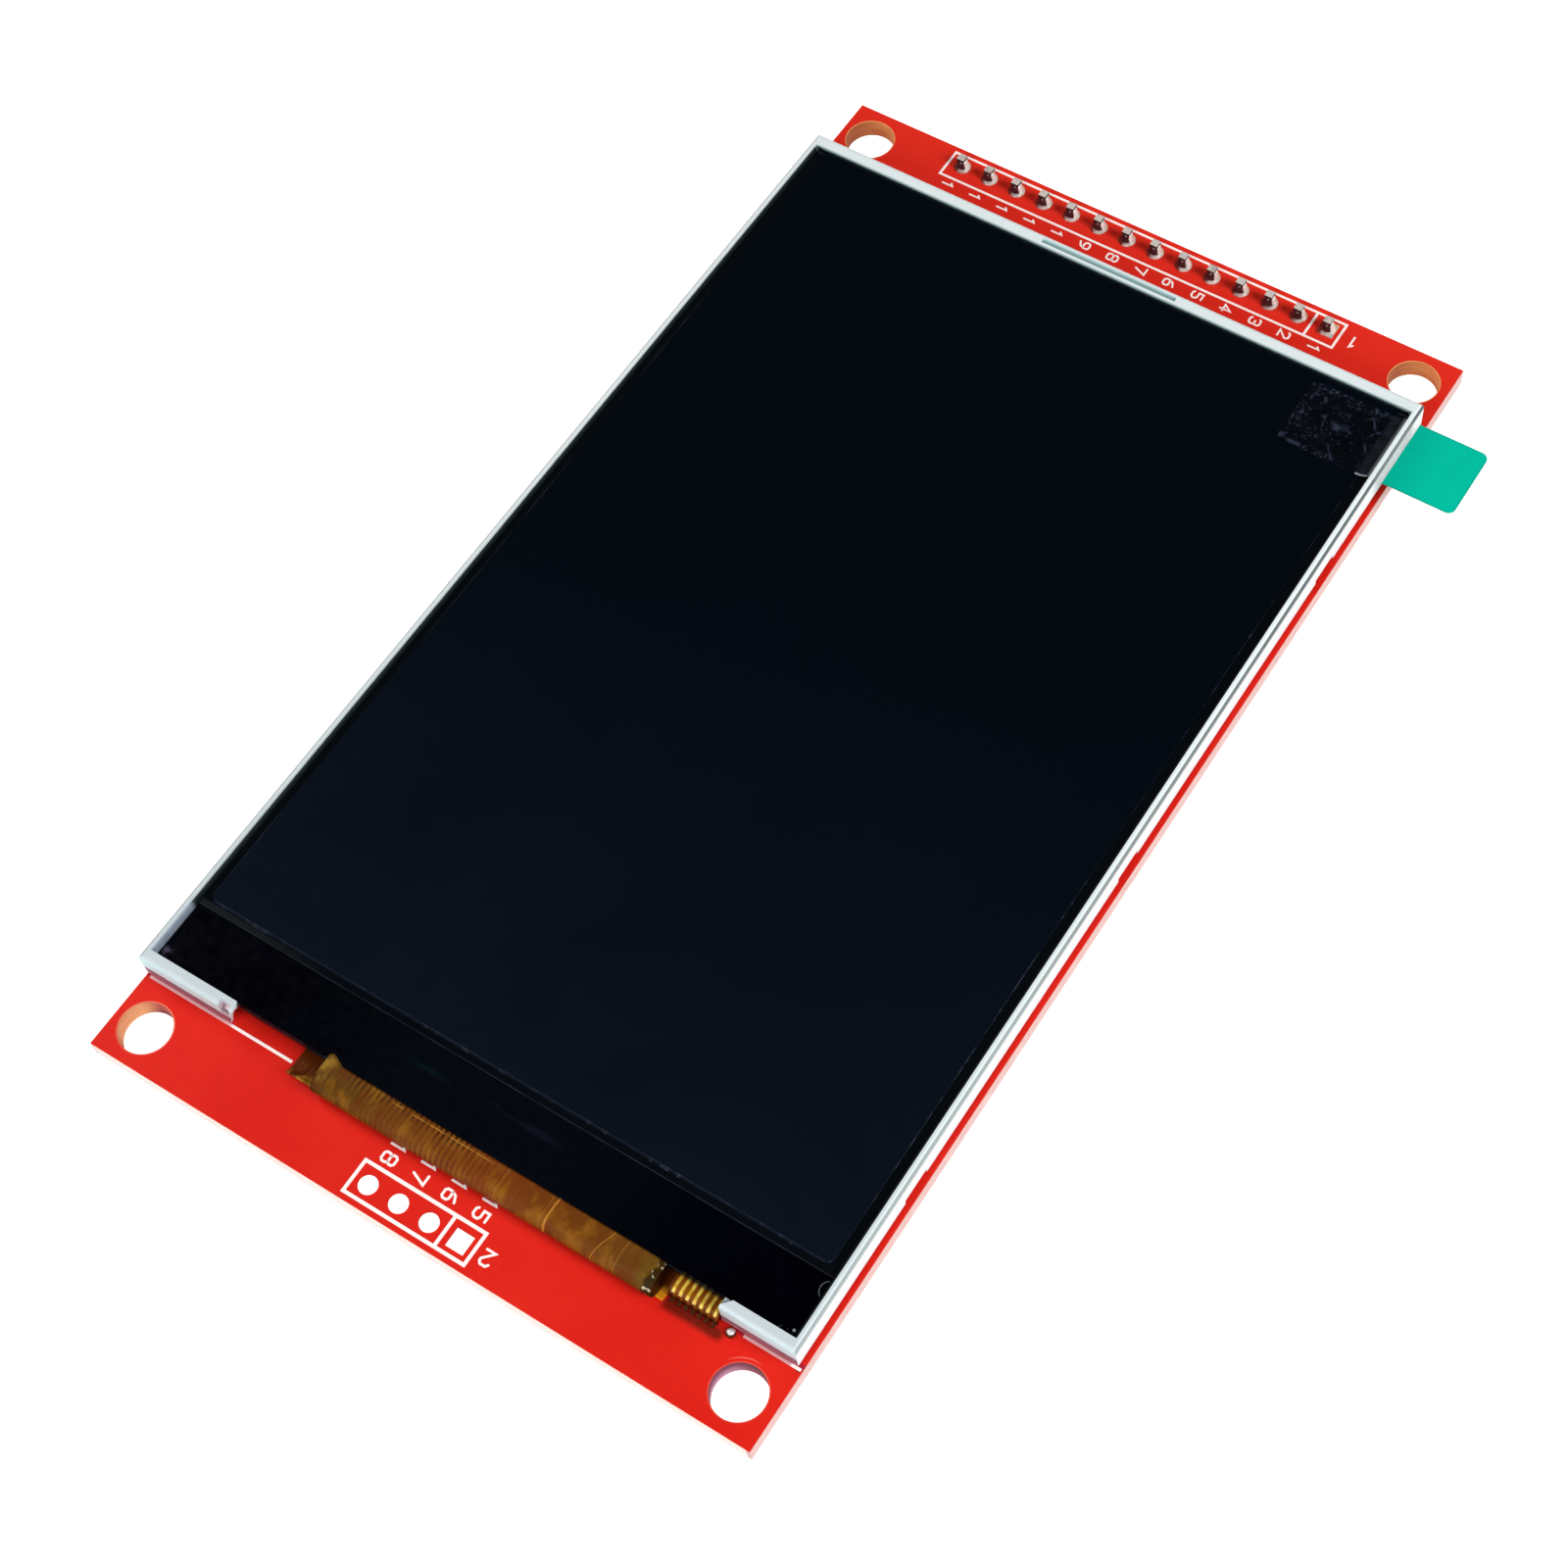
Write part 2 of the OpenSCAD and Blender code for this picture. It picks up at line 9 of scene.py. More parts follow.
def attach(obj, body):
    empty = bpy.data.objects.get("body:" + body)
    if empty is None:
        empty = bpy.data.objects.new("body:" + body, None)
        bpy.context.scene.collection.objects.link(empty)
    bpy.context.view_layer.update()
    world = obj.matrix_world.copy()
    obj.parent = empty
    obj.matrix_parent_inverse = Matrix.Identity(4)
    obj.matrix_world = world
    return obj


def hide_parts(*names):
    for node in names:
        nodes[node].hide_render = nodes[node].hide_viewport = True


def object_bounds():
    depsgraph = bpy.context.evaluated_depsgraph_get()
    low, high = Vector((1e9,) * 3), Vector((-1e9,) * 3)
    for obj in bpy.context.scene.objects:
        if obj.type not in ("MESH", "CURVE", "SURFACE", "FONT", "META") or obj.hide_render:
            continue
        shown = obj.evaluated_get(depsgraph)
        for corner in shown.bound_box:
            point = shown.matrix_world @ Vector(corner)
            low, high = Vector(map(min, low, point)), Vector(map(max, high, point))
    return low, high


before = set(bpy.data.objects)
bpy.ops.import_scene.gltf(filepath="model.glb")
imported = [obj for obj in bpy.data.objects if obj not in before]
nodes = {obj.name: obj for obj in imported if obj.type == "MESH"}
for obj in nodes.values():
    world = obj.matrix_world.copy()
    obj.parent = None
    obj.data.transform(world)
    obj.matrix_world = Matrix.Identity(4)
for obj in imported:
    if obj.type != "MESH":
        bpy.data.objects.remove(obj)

cad_lo, cad_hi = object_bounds()
MM = 0.001
scene = bpy.context.scene
random.seed(4)


# ---------------------------------------------------------------- helpers


def lin(r, g, b):
    """A colour given as 0-255 sRGB, as linear RGBA."""
    out = []
    for v in (r, g, b):
        v = v / 255.0
        out.append(v / 12.92 if v <= 0.04045 else ((v + 0.055) / 1.055) ** 2.4)
    return (*out, 1.0)


class Mat:
    """A node material under construction."""

    def __init__(self, name, rough=0.5, metal=0.0, spec=0.5, coat=0.0, coat_rough=0.1):
        self.m = bpy.data.materials.new(name)
        self.m.use_nodes = True
        self.t = self.m.node_tree
        self.t.nodes.clear()
        self.out = self.t.nodes.new("ShaderNodeOutputMaterial")
        self.b = self.t.nodes.new("ShaderNodeBsdfPrincipled")
        self.t.links.new(self.b.outputs[0], self.out.inputs[0])
        self.b.inputs["Roughness"].default_value = rough
        self.b.inputs["Metallic"].default_value = metal
        self.b.inputs["Specular IOR Level"].default_value = spec
        self.b.inputs["Coat Weight"].default_value = coat
        self.b.inputs["Coat Roughness"].default_value = coat_rough
        self.pos = None

    def node(self, kind, **kw):
        n = self.t.nodes.new(kind)
        for k, v in kw.items():
            setattr(n, k, v)
        return n

    def link(self, a, b):
        self.t.links.new(a, b)

    def place(self):
        """Position in the row frame, in metres."""
        if self.pos is None:
            self.pos = self.node("ShaderNodeTexCoord").outputs["Object"]
        return self.pos

    def mapped(self, scale=(1, 1, 1), rot=(0, 0, 0), loc=(0, 0, 0)):
        n = self.node("ShaderNodeMapping")
        n.inputs["Scale"].default_value = scale
        n.inputs["Rotation"].default_value = rot
        n.inputs["Location"].default_value = loc
        self.link(self.place(), n.inputs["Vector"])
        return n.outputs[0]

    def noise(self, scale, detail=3.0, rough=0.55, vec=None, dist=0.0):
        n = self.node("ShaderNodeTexNoise")
        n.inputs["Scale"].default_value = scale
        n.inputs["Detail"].default_value = detail
        n.inputs["Roughness"].default_value = rough
        n.inputs["Distortion"].default_value = dist
        self.link(vec or self.place(), n.inputs["Vector"])
        return n.outputs["Fac"]

    def voronoi(self, scale, feature="F1", vec=None, out="Distance", rand=1.0):
        n = self.node("ShaderNodeTexVoronoi", feature=feature)
        n.inputs["Scale"].default_value = scale
        n.inputs["Randomness"].default_value = rand
        self.link(vec or self.place(), n.inputs["Vector"])
        return n.outputs[out]

    def xyz(self):
        n = self.node("ShaderNodeSeparateXYZ")
        self.link(self.place(), n.inputs[0])
        return n.outputs[0], n.outputs[1], n.outputs[2]

    def normal_z(self):
        g = self.node("ShaderNodeNewGeometry")
        n = self.node("ShaderNodeSeparateXYZ")
        self.link(g.outputs["Normal"], n.inputs[0])
        return n.outputs[2]

    def normal(self):
        g = self.node("ShaderNodeNewGeometry")
        n = self.node("ShaderNodeSeparateXYZ")
        self.link(g.outputs["Normal"], n.inputs[0])
        return n.outputs[0], n.outputs[1], n.outputs[2]

    def spot(self, x, y, r, soft, xs=None, ys=None):
        """1 inside a circle about x, y (mm), 0 outside."""
        px_, py_, _ = self.xyz()
        if xs:
            px_ = self.math("ABSOLUTE", px_)
        if ys:
            py_ = self.math("ABSOLUTE", py_)
        dx = self.math("SUBTRACT", px_, x * MM)
        dy = self.math("SUBTRACT", py_, y * MM)
        d = self.math("SQRT", self.math("ADD", self.math("MULTIPLY", dx, dx), self.math("MULTIPLY", dy, dy)))
        return self.span(d, (r - soft) * MM, (r + soft) * MM, 1.0, 0.0)

    def math(self, op, a, b=None, c=None, clamp=False):
        n = self.node("ShaderNodeMath", operation=op, use_clamp=clamp)
        for i, v in enumerate((a, b, c)):
            if v is None:
                continue
            if isinstance(v, (int, float)):
                n.inputs[i].default_value = v
            else:
                self.link(v, n.inputs[i])
        return n.outputs[0]

    def span(self, v, lo, hi, out_lo=0.0, out_hi=1.0, smooth=False):
        n = self.node("ShaderNodeMapRange")
        n.interpolation_type = "SMOOTHSTEP" if smooth else "LINEAR"
        n.clamp = True
        n.inputs["From Min"].default_value = lo
        n.inputs["From Max"].default_value = hi
        n.inputs["To Min"].default_value = out_lo
        n.inputs["To Max"].default_value = out_hi
        self.link(v, n.inputs["Value"])
        return n.outputs[0]

    def band(self, v, lo, hi, soft):
        """1 between lo and hi, 0 outside, with soft edges."""
        up = self.span(v, lo - soft, lo + soft)
        down = self.span(v, hi - soft, hi + soft, 1.0, 0.0)
        return self.math("MULTIPLY", up, down)

    def mix(self, fac, a, b):
        n = self.node("ShaderNodeMix", data_type="RGBA")
        for sock, v in ((n.inputs[0], fac), (n.inputs[6], a), (n.inputs[7], b)):
            if isinstance(v, (tuple, list, float, int)):
                sock.default_value = v
            else:
                self.link(v, sock)
        return n.outputs[2]

    def ramp(self, fac, stops):
        n = self.node("ShaderNodeValToRGB")
        e = n.color_ramp.elements
        e[0].position, e[0].color = stops[0]
        e[1].position, e[1].color = stops[-1]
        for p, c in stops[1:-1]:
            x = e.new(p)
            x.color = c
        self.link(fac, n.inputs[0])
        return n.outputs[0]

    def colour(self, c):
        if isinstance(c, tuple):
            self.b.inputs["Base Color"].default_value = c
        else:
            self.link(c, self.b.inputs["Base Color"])
        return self

    def rough(self, v):
        self.link(v, self.b.inputs["Roughness"])
        return self

    def metal(self, v):
        self.link(v, self.b.inputs["Metallic"])
        return self

    def bump(self, height, strength=0.2, distance=0.00002):
        n = self.node("ShaderNodeBump")
        n.inputs["Strength"].default_value = strength
        n.inputs["Distance"].default_value = distance
        self.link(height, n.inputs["Height"])
        self.link(n.outputs[0], self.b.inputs["Normal"])
        return self


def paint(obj, mat):
    obj.data.materials.clear()
    obj.data.materials.append(mat.m)


def new_piece(name, bm, mat, smooth=False):
    bmesh.ops.recalc_face_normals(bm, faces=bm.faces)
    me = bpy.data.meshes.new(name)
    bm.to_mesh(me)
    bm.free()
    if smooth:
        for p in me.polygons:
            p.use_smooth = True
    o = bpy.data.objects.new(name, me)
    scene.collection.objects.link(o)
    o.data.materials.append(mat.m)
    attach(o, "root")
    return o


def prism(bm, pts, z0, z1, holes=()):
    """A flat polygon (mm, in XY) raised from z0 to z1."""
    lo = [bm.verts.new((x * MM, y * MM, z0 * MM)) for x, y in pts]
    hi = [bm.verts.new((x * MM, y * MM, z1 * MM)) for x, y in pts]
    n = len(pts)
    bm.faces.new(list(reversed(lo)))
    bm.faces.new(hi)
    for i in range(n):
        j = (i + 1) % n
        bm.faces.new((lo[i], lo[j], hi[j], hi[i]))


def rect(bm, x0, x1, y0, y1, z0, z1):
    prism(bm, [(x0, y0), (x1, y0), (x1, y1), (x0, y1)], z0, z1)


def stroke(bm, pts, w, z0, z1, closed=False, caps=5):
    """A line of width w along pts (mm), with round ends and mitred joints, as one clean strip."""
    n = len(pts)
    left, right = [], []
    for i in range(n):
        p = Vector(pts[i])
        if closed:
            a, b = Vector(pts[i - 1]), Vector(pts[(i + 1) % n])
        else:
            a = Vector(pts[i - 1]) if i else None
            b = Vector(pts[i + 1]) if i < n - 1 else None
        d1 = (p - a).normalized() if a is not None else (b - p).normalized()
        d2 = (b - p).normalized() if b is not None else d1
        t = (d1 + d2).normalized()
        nrm = Vector((-t.y, t.x))
        k = (w / 2) / max(0.45, nrm.dot(Vector((-d1.y, d1.x))))
        left.append(p + nrm * k)
        right.append(p - nrm * k)
    if closed:
        lo_l = [bm.verts.new((q.x * MM, q.y * MM, z0 * MM)) for q in left]
        lo_r = [bm.verts.new((q.x * MM, q.y * MM, z0 * MM)) for q in right]
        hi_l = [bm.verts.new((q.x * MM, q.y * MM, z1 * MM)) for q in left]
        hi_r = [bm.verts.new((q.x * MM, q.y * MM, z1 * MM)) for q in right]
        for i in range(n):
            j = (i + 1) % n
            bm.faces.new((hi_r[i], hi_r[j], hi_l[j], hi_l[i]))
            bm.faces.new((lo_l[i], lo_l[j], lo_r[j], lo_r[i]))
            bm.faces.new((lo_r[i], lo_r[j], hi_r[j], hi_r[i]))
            bm.faces.new((lo_l[j], lo_l[i], hi_l[i], hi_l[j]))
        return
    ring = []
    d = (Vector(pts[0]) - Vector(pts[1])).normalized()
    a0 = math.atan2(d.y, d.x)
    for k in range(1, caps):
        a = a0 + math.pi / 2 - math.pi * k / caps
        ring.append(Vector(pts[0]) + Vector((math.cos(a), math.sin(a))) * w / 2)
    start = list(reversed(ring))
    ring = []
    d = (Vector(pts[-1]) - Vector(pts[-2])).normalized()
    a0 = math.atan2(d.y, d.x)
    for k in range(1, caps):
        a = a0 - math.pi / 2 + math.pi * k / caps
        ring.append(Vector(pts[-1]) + Vector((math.cos(a), math.sin(a))) * w / 2)
    outline = right + ring + list(reversed(left)) + start
    prism(bm, [(q.x, q.y) for q in outline], z0, z1)


# ---------------------------------------------------------------- materials

# Solder mask on top and bottom, bare glass-epoxy on the cut edges
pcb_m = Mat("pcb_red_mask", rough=0.4, spec=0.1)
nz = pcb_m.math("ABSOLUTE", pcb_m.normal_z())
flat = pcb_m.span(nz, 0.45, 0.55)
cloud = pcb_m.noise(90, 3)
fine = pcb_m.noise(2600, 2)
red = pcb_m.mix(
    pcb_m.span(cloud, 0.35, 0.65), lin(222, 32, 21), lin(230, 40, 27)
)
red = pcb_m.mix(pcb_m.span(fine, 0.3, 0.75, 0.0, 0.25), red, lin(206, 26, 19))
px, py, pz = pcb_m.xyz()
rim_x = pcb_m.span(pcb_m.math("ABSOLUTE", px), 26.95 * MM, 27.0 * MM)
# plies of glass cloth in the cut edge, and mask creeping over its top arris
plies = pcb_m.noise(1.0, 3, vec=pcb_m.mapped(scale=(700, 700, 9000)))
ply = pcb_m.mix(
    pcb_m.span(plies, 0.35, 0.65), lin(236, 204, 196), lin(252, 234, 226)
)
# on the long side edges the laminate and the mask over its arris are painted darker than at the ends, as painted shade
ply_x = pcb_m.mix(
    pcb_m.span(plies, 0.35, 0.65), lin(194, 156, 152), lin(214, 182, 177)
)
ply = pcb_m.mix(rim_x, ply, ply_x)
arris = pcb_m.span(pz, -0.2 * MM, -0.06 * MM)
arris = pcb_m.math("MULTIPLY", arris, pcb_m.span(rim_x, 0.0, 1.0, 0.85, 0.9))
edge = pcb_m.mix(arris, ply, pcb_m.mix(rim_x, lin(236, 120, 84), lin(196, 84, 70)))
# drilled walls are browner than the routed outline
rim_y = pcb_m.span(pcb_m.math("ABSOLUTE", py), 48.92 * MM, 48.97 * MM)
routed = pcb_m.math("MAXIMUM", rim_x, rim_y)
drill_bands = pcb_m.noise(1.0, 3, vec=pcb_m.mapped(scale=(420, 420, 4200)))
tan = pcb_m.mix(pcb_m.span(drill_bands, 0.35, 0.65), lin(206, 126, 70), lin(232, 160, 98))
# deeper in the holes, and on walls facing +x, the drilled walls are painted darker, as painted shade
tan = pcb_m.mix(pcb_m.span(pz, -1.5 * MM, -0.5 * MM, 0.4, 0.0), tan, lin(150, 84, 50))
wall_x, wall_y, _ = pcb_m.normal()
tan = pcb_m.mix(pcb_m.span(wall_x, -0.2, 0.9, 0.0, 0.75), tan, lin(120, 62, 44))
mauve = pcb_m.mix(pcb_m.span(drill_bands, 0.35, 0.65), lin(92, 44, 66), lin(150, 96, 112))
mauve = pcb_m.mix(pcb_m.span(pz, -0.16 * MM, -0.06 * MM, 0.0, 0.6), mauve, lin(214, 120, 96))
# foot end: the left hole catches warm light on its far wall, the right one stays in shade
warm = pcb_m.mix(pcb_m.span(wall_x, 0.25, 0.8), pcb_m.mix(pcb_m.span(pz, -1.3 * MM, -0.7 * MM), lin(112, 48, 58), lin(176, 86, 74)), pcb_m.mix(drill_bands, lin(188, 126, 84), lin(222, 164, 120)))
cool = pcb_m.mix(pcb_m.span(pz, -1.5 * MM, -0.4 * MM), lin(176, 132, 152), lin(116, 56, 80))
cool = pcb_m.mix(pcb_m.span(wall_x, 0.2, 0.9, 0.75, 0.0), cool, lin(116, 56, 64))
mauve = pcb_m.mix(pcb_m.span(px, -0.001, 0.001), warm, cool)
drilled = pcb_m.mix(pcb_m.span(py, -0.001, 0.001), mauve, tan)
side = pcb_m.mix(routed, drilled, edge)
# the mask stops short of each mounting hole and leaves a ring of bare laminate
ring = pcb_m.spot(24.55, 46.15, 2.045, 0.02, xs=True, ys=True)
bare = pcb_m.mix(pcb_m.span(py, -0.001, 0.001), lin(236, 118, 92), lin(240, 160, 98))
# the lower right of each ring lies in less light
ax0 = pcb_m.math("SUBTRACT", pcb_m.math("ABSOLUTE", px), 24.55 * MM)
ax0 = pcb_m.math("MULTIPLY", ax0, pcb_m.math("SIGN", px))
ay0 = pcb_m.math("SUBTRACT", pcb_m.math("ABSOLUTE", py), 46.15 * MM)
ay0 = pcb_m.math("MULTIPLY", ay0, pcb_m.math("SIGN", py))
low_side = pcb_m.span(pcb_m.math("SUBTRACT", pcb_m.math("MULTIPLY", ax0, 0.5), ay0), -0.6 * MM, 1.0 * MM, 0.0, 0.6)
bare = pcb_m.mix(low_side, bare, lin(228, 58, 42))
# the ring of the right hole at the foot end is painted nearly the mask's red, as painted shade
shy = pcb_m.math("MULTIPLY", pcb_m.span(px, -0.001, 0.001), pcb_m.span(py, -0.001, 0.001, 1.0, 0.0))
bare = pcb_m.mix(pcb_m.math("MULTIPLY", shy, 0.75), bare, lin(222, 62, 48))
top = pcb_m.mix(ring, red, bare)
# the mask is painted a touch lighter at the header end, as painted light
top = pcb_m.mix(pcb_m.math("MULTIPLY", pcb_m.span(py, 40 * MM, 47 * MM, 0.0, 0.6), pcb_m.span(ring, 0.4, 0.6, 1.0, 0.0)), top, lin(238, 52, 36))
# a faint pale arc round the upper side of the right hole
pale_arc = pcb_m.math("SUBTRACT", pcb_m.spot(24.5, -46.1, 2.24, 0.04), pcb_m.spot(24.5, -46.1, 2.17, 0.04))
pale_arc = pcb_m.math("MULTIPLY", pale_arc, pcb_m.band(px, 22.9 * MM, 24.6 * MM, 0.4 * MM))
front = pcb_m.span(pz, -0.4 * MM, -0.2 * MM)
pale_arc = pcb_m.math("MULTIPLY", pcb_m.math("MULTIPLY", pale_arc, front), pcb_m.span(py, -45.0 * MM, -44.5 * MM, 0.0, 0.6))
top = pcb_m.mix(pale_arc, top, lin(240, 136, 118))
# flux and painted shadow in front of the lamp flex
flux_and_shadow = pcb_m.math("MULTIPLY", pcb_m.band(py, -44.1 * MM, -43.3 * MM, 0.22 * MM), pcb_m.band(px, 17.0 * MM, 21.6 * MM, 0.25 * MM))
flux_and_shadow = pcb_m.math("MULTIPLY", flux_and_shadow, front)
top = pcb_m.mix(pcb_m.math("MULTIPLY", flux_and_shadow, pcb_m.span(fine, 0.2, 0.8, 0.75, 0.95)), top, lin(92, 24, 10))
# crimson shade on the mask along the foot of the panel
feet_y = pcb_m.band(py, -42.95 * MM, -42.5 * MM, 0.12 * MM)
feet_x = pcb_m.math("MAXIMUM", pcb_m.span(px, -19.9 * MM, -19.4 * MM, 1.0, 0.0), pcb_m.span(px, 22.0 * MM, 22.4 * MM))
feet_y = pcb_m.math("MULTIPLY", feet_y, front)
top = pcb_m.mix(pcb_m.math("MULTIPLY", pcb_m.math("MULTIPLY", feet_y, feet_x), 0.75), top, lin(150, 34, 66))
# a dark spot of painted shade in the gap at the right front corner of the panel
notch = pcb_m.spot(26.98, -43.0, 0.12, 0.06)
top = pcb_m.mix(pcb_m.math("MULTIPLY", notch, front), top, lin(70, 14, 20))
pcb_m.colour(pcb_m.mix(flat, side, top))
pcb_m.rough(pcb_m.mix(flat, (0.75, 0.75, 0.75, 1), pcb_m.ramp(fine, [(0.0, (0.34, 0.34, 0.34, 1)), (1.0, (0.46, 0.46, 0.46, 1))])))
pcb_m.bump(pcb_m.math("ADD", pcb_m.math("MULTIPLY", fine, 0.7), pcb_m.math("MULTIPLY", plies, 0.5)), 0.12, 0.00002)
paint(nodes["pcb"], pcb_m)

# Ink of the printed outlines and numbers
ink = Mat("screen_ink", rough=0.55, spec=0.3)
ink_n = ink.noise(4200, 3)
ink_x, ink_y, _ = ink.xyz()
# near the feet of the panel the print is painted pinkish, as painted shade
by_feet = ink.math("MAXIMUM", ink.span(ink_x, -19.7 * MM, -19.4 * MM, 1.0, 0.0), ink.span(ink_x, 21.9 * MM, 22.2 * MM))
by_feet = ink.math("MULTIPLY", by_feet, ink.band(ink_y, -43.3 * MM, -42.4 * MM, 0.02 * MM))
by_feet = ink.math("MULTIPLY", by_feet, ink.span(ink_x, 26.3 * MM, 26.5 * MM, 1.0, 0.0))
ink.colour(ink.mix(ink.math("MULTIPLY", by_feet, 0.85), ink.mix(ink.span(ink_n, 0.35, 0.7), lin(252, 236, 232), lin(255, 246, 243)), lin(214, 132, 140)))
# the ink is given a faint glow, as painted light
ink.b.inputs["Emission Color"].default_value = (1.0, 0.86, 0.84, 1)
ink.b.inputs["Emission Strength"].default_value = 0.1
ink.bump(ink_n, 0.25, 0.00001)


def metal_mat(name, dark, light, rough_lo, rough_hi, scale=1400, metal=1.0, bump=0.15, spec=0.5):
    m = Mat(name, metal=metal, spec=spec)
    n = m.noise(scale, 4)
    big = m.noise(scale / 9, 2)
    m.colour(m.mix(m.span(m.math("ADD", m.math("MULTIPLY", n, 0.6), m.math("MULTIPLY", big, 0.4)), 0.38, 0.62), dark, light))
    m.rough(m.span(n, 0.3, 0.7, rough_lo, rough_hi))
    m.bump(n, bump, 0.00001)
    return m


tin = metal_mat("bright_tin", lin(226, 226, 222), lin(250, 250, 246), 0.3, 0.5, metal=0.25)
bright_pad = metal_mat("tinned_pad", lin(244, 244, 242), lin(254, 254, 252), 0.34, 0.5, metal=0.05, spec=0.3)
# the pads are given a faint glow, as painted light
bright_pad.b.inputs["Emission Color"].default_value = (1, 1, 1, 1)
bright_pad.b.inputs["Emission Strength"].default_value = 0.16
solder = metal_mat("solder", lin(150, 150, 150), lin(235, 235, 232), 0.1, 0.26, 2400, bump=0.4)
gold = metal_mat("gold_plate", lin(232, 182, 52), lin(255, 216, 96), 0.26, 0.42, 1600, metal=0.3)
# joint on a pin: a fillet round a steep cone, painted bright where light falls and dark on the side turned from it
joint = Mat("joint_solder", metal=0.3, spec=0.5)
jx, jy, jz = joint.normal()
jn = joint.noise(2600, 3)
lit = joint.mix(joint.span(jn, 0.35, 0.65), lin(222, 224, 212), lin(255, 255, 248))
cone_shade = joint.mix(joint.span(jn, 0.3, 0.7), lin(30, 10, 14), lin(74, 34, 40))
jpx_, jpy_, joint_z = joint.xyz()
# place within the joint, from the pin's axis
cell = joint.math("DIVIDE", jpx_, 2.54 * MM)
lx_ = joint.math("MULTIPLY", joint.math("SUBTRACT", joint.math("FRACT", cell), 0.5), 2.54)
ly_ = joint.math("SUBTRACT", joint.math("DIVIDE", jpy_, MM), 47.4)
wob_j = joint.math("MULTIPLY", joint.math("SUBTRACT", joint.noise(1500, 2), 0.5), 0.7)
over = joint.math("ADD", joint.math("ADD", joint.math("MULTIPLY", lx_, 0.84), joint.math("MULTIPLY", ly_, 0.54)), wob_j)
down = joint.math("ADD", joint.math("SUBTRACT", joint.math("MULTIPLY", lx_, 0.443), joint.math("MULTIPLY", ly_, 0.747)), wob_j)
# the flat rim: cream towards the light, greyish below, brown-red on the far side
rim_lit = joint.span(over, -0.15, 0.3)
rim_low = joint.math("MULTIPLY", joint.span(down, 0.3, 0.55), 0.8)
rim_j = joint.mix(joint.math("MAXIMUM", rim_lit, rim_low), joint.mix(jn, lin(92, 24, 22), lin(128, 50, 42)), lit)
# the side of the cone turned from the light is dark
lee = joint.math("ADD", joint.math("MULTIPLY", jx, 0.84), joint.math("MULTIPLY", jy, 0.54))
lee = joint.span(joint.math("ADD", lee, joint.math("MULTIPLY", wob_j, 0.6)), 0.3, 0.5, 1.0, 0.0)
cone = joint.span(joint_z, 0.24 * MM, 0.3 * MM)
joint.colour(joint.mix(cone, rim_j, joint.mix(lee, lit, cone_shade)))
joint.rough(joint.span(jn, 0.3, 0.7, 0.16, 0.34))
joint.bump(jn, 0.35, 0.00002)

# pins: plated, with bare cut tips above the joints
tip_pin = Mat("header_pin", metal=0.9, spec=0.5)
qx, qy, qz = tip_pin.normal()
_, _, pin_z = tip_pin.xyz()
qn = tip_pin.noise(2200, 3)
above = tip_pin.span(pin_z, 0.2 * MM, 0.3 * MM)
plated = tip_pin.mix(tip_pin.span(qn, 0.3, 0.7), lin(216, 178, 100), lin(234, 198, 120))
# the cut tips are painted dark on their sides and bright on top, as painted shade and highlight
cut_tip_shade = tip_pin.mix(tip_pin.span(qz, 0.4, 0.6), lin(44, 14, 18), lin(222, 212, 205))
cut_tip_shade = tip_pin.mix(tip_pin.span(qn, 0.52, 0.64, 0.0, 0.45), cut_tip_shade, lin(134, 112, 106))
tip_pin.colour(tip_pin.mix(above, plated, cut_tip_shade))
tip_pin.metal(tip_pin.span(pin_z, 0.2 * MM, 0.3 * MM, 0.95, 0.15))
tip_pin.rough(tip_pin.span(qn, 0.3, 0.7, 0.2, 0.36))
tip_pin.bump(qn, 0.2, 0.00001)

pin_gold = metal_mat("pin_gold", lin(196, 160, 80), lin(240, 208, 128), 0.16, 0.3, 1200)
nickel = metal_mat("nickel_steel", lin(168, 170, 172), lin(206, 208, 210), 0.22, 0.4, 700)

# Header housing and sockets
black_nylon = Mat("black_nylon", rough=0.5, spec=0.4)
bn = black_nylon.noise(1500, 4)
black_nylon.colour(black_nylon.mix(black_nylon.span(bn, 0.3, 0.7), lin(20, 20, 22), lin(38, 38, 42)))
black_nylon.rough(black_nylon.span(bn, 0.3, 0.7, 0.42, 0.6))
black_nylon.bump(bn, 0.3, 0.00002)

# Zinc-plated sheet of the bezel: pale, matt, with painted shade along its bends
bez = Mat("bezel_steel", rough=0.5, metal=0.08, spec=0.3)
bnx, bny, bnz = bez.normal()
bpx, bpy_, bpz = bez.xyz()
spangle = bez.voronoi(420, out="Color")
sep = bez.node("ShaderNodeSeparateColor")
bez.link(spangle, sep.inputs[0])
grain = bez.noise(1.0, 3, vec=bez.mapped(scale=(500, 5200, 5200)))
fleck = bez.noise(5200, 2)
# the sheet is painted lighter towards the header end, as painted light
along_y = bez.span(bpy_, -42 * MM, 12 * MM)
pale = bez.mix(along_y, lin(208, 219, 223), lin(240, 249, 249))
pale = bez.mix(bez.span(sep.outputs[0], 0.0, 1.0, 0.0, 0.3), pale, bez.mix(along_y, lin(200, 211, 215), lin(232, 242, 241)))
pale = bez.mix(bez.span(fleck, 0.62, 0.75, 0.0, 0.25), pale, lin(196, 212, 218))
pale = bez.mix(bez.span(grain, 0.35, 0.7, 0.0, 0.15), pale, lin(206, 218, 218))
# walls: the right one in full light, the short ones bluer
pale = bez.mix(bez.math("MULTIPLY", bez.span(bnx, 0.75, 0.95), bez.span(bpx, 0.0, 1.0 * MM)), pale, lin(212, 216, 217))
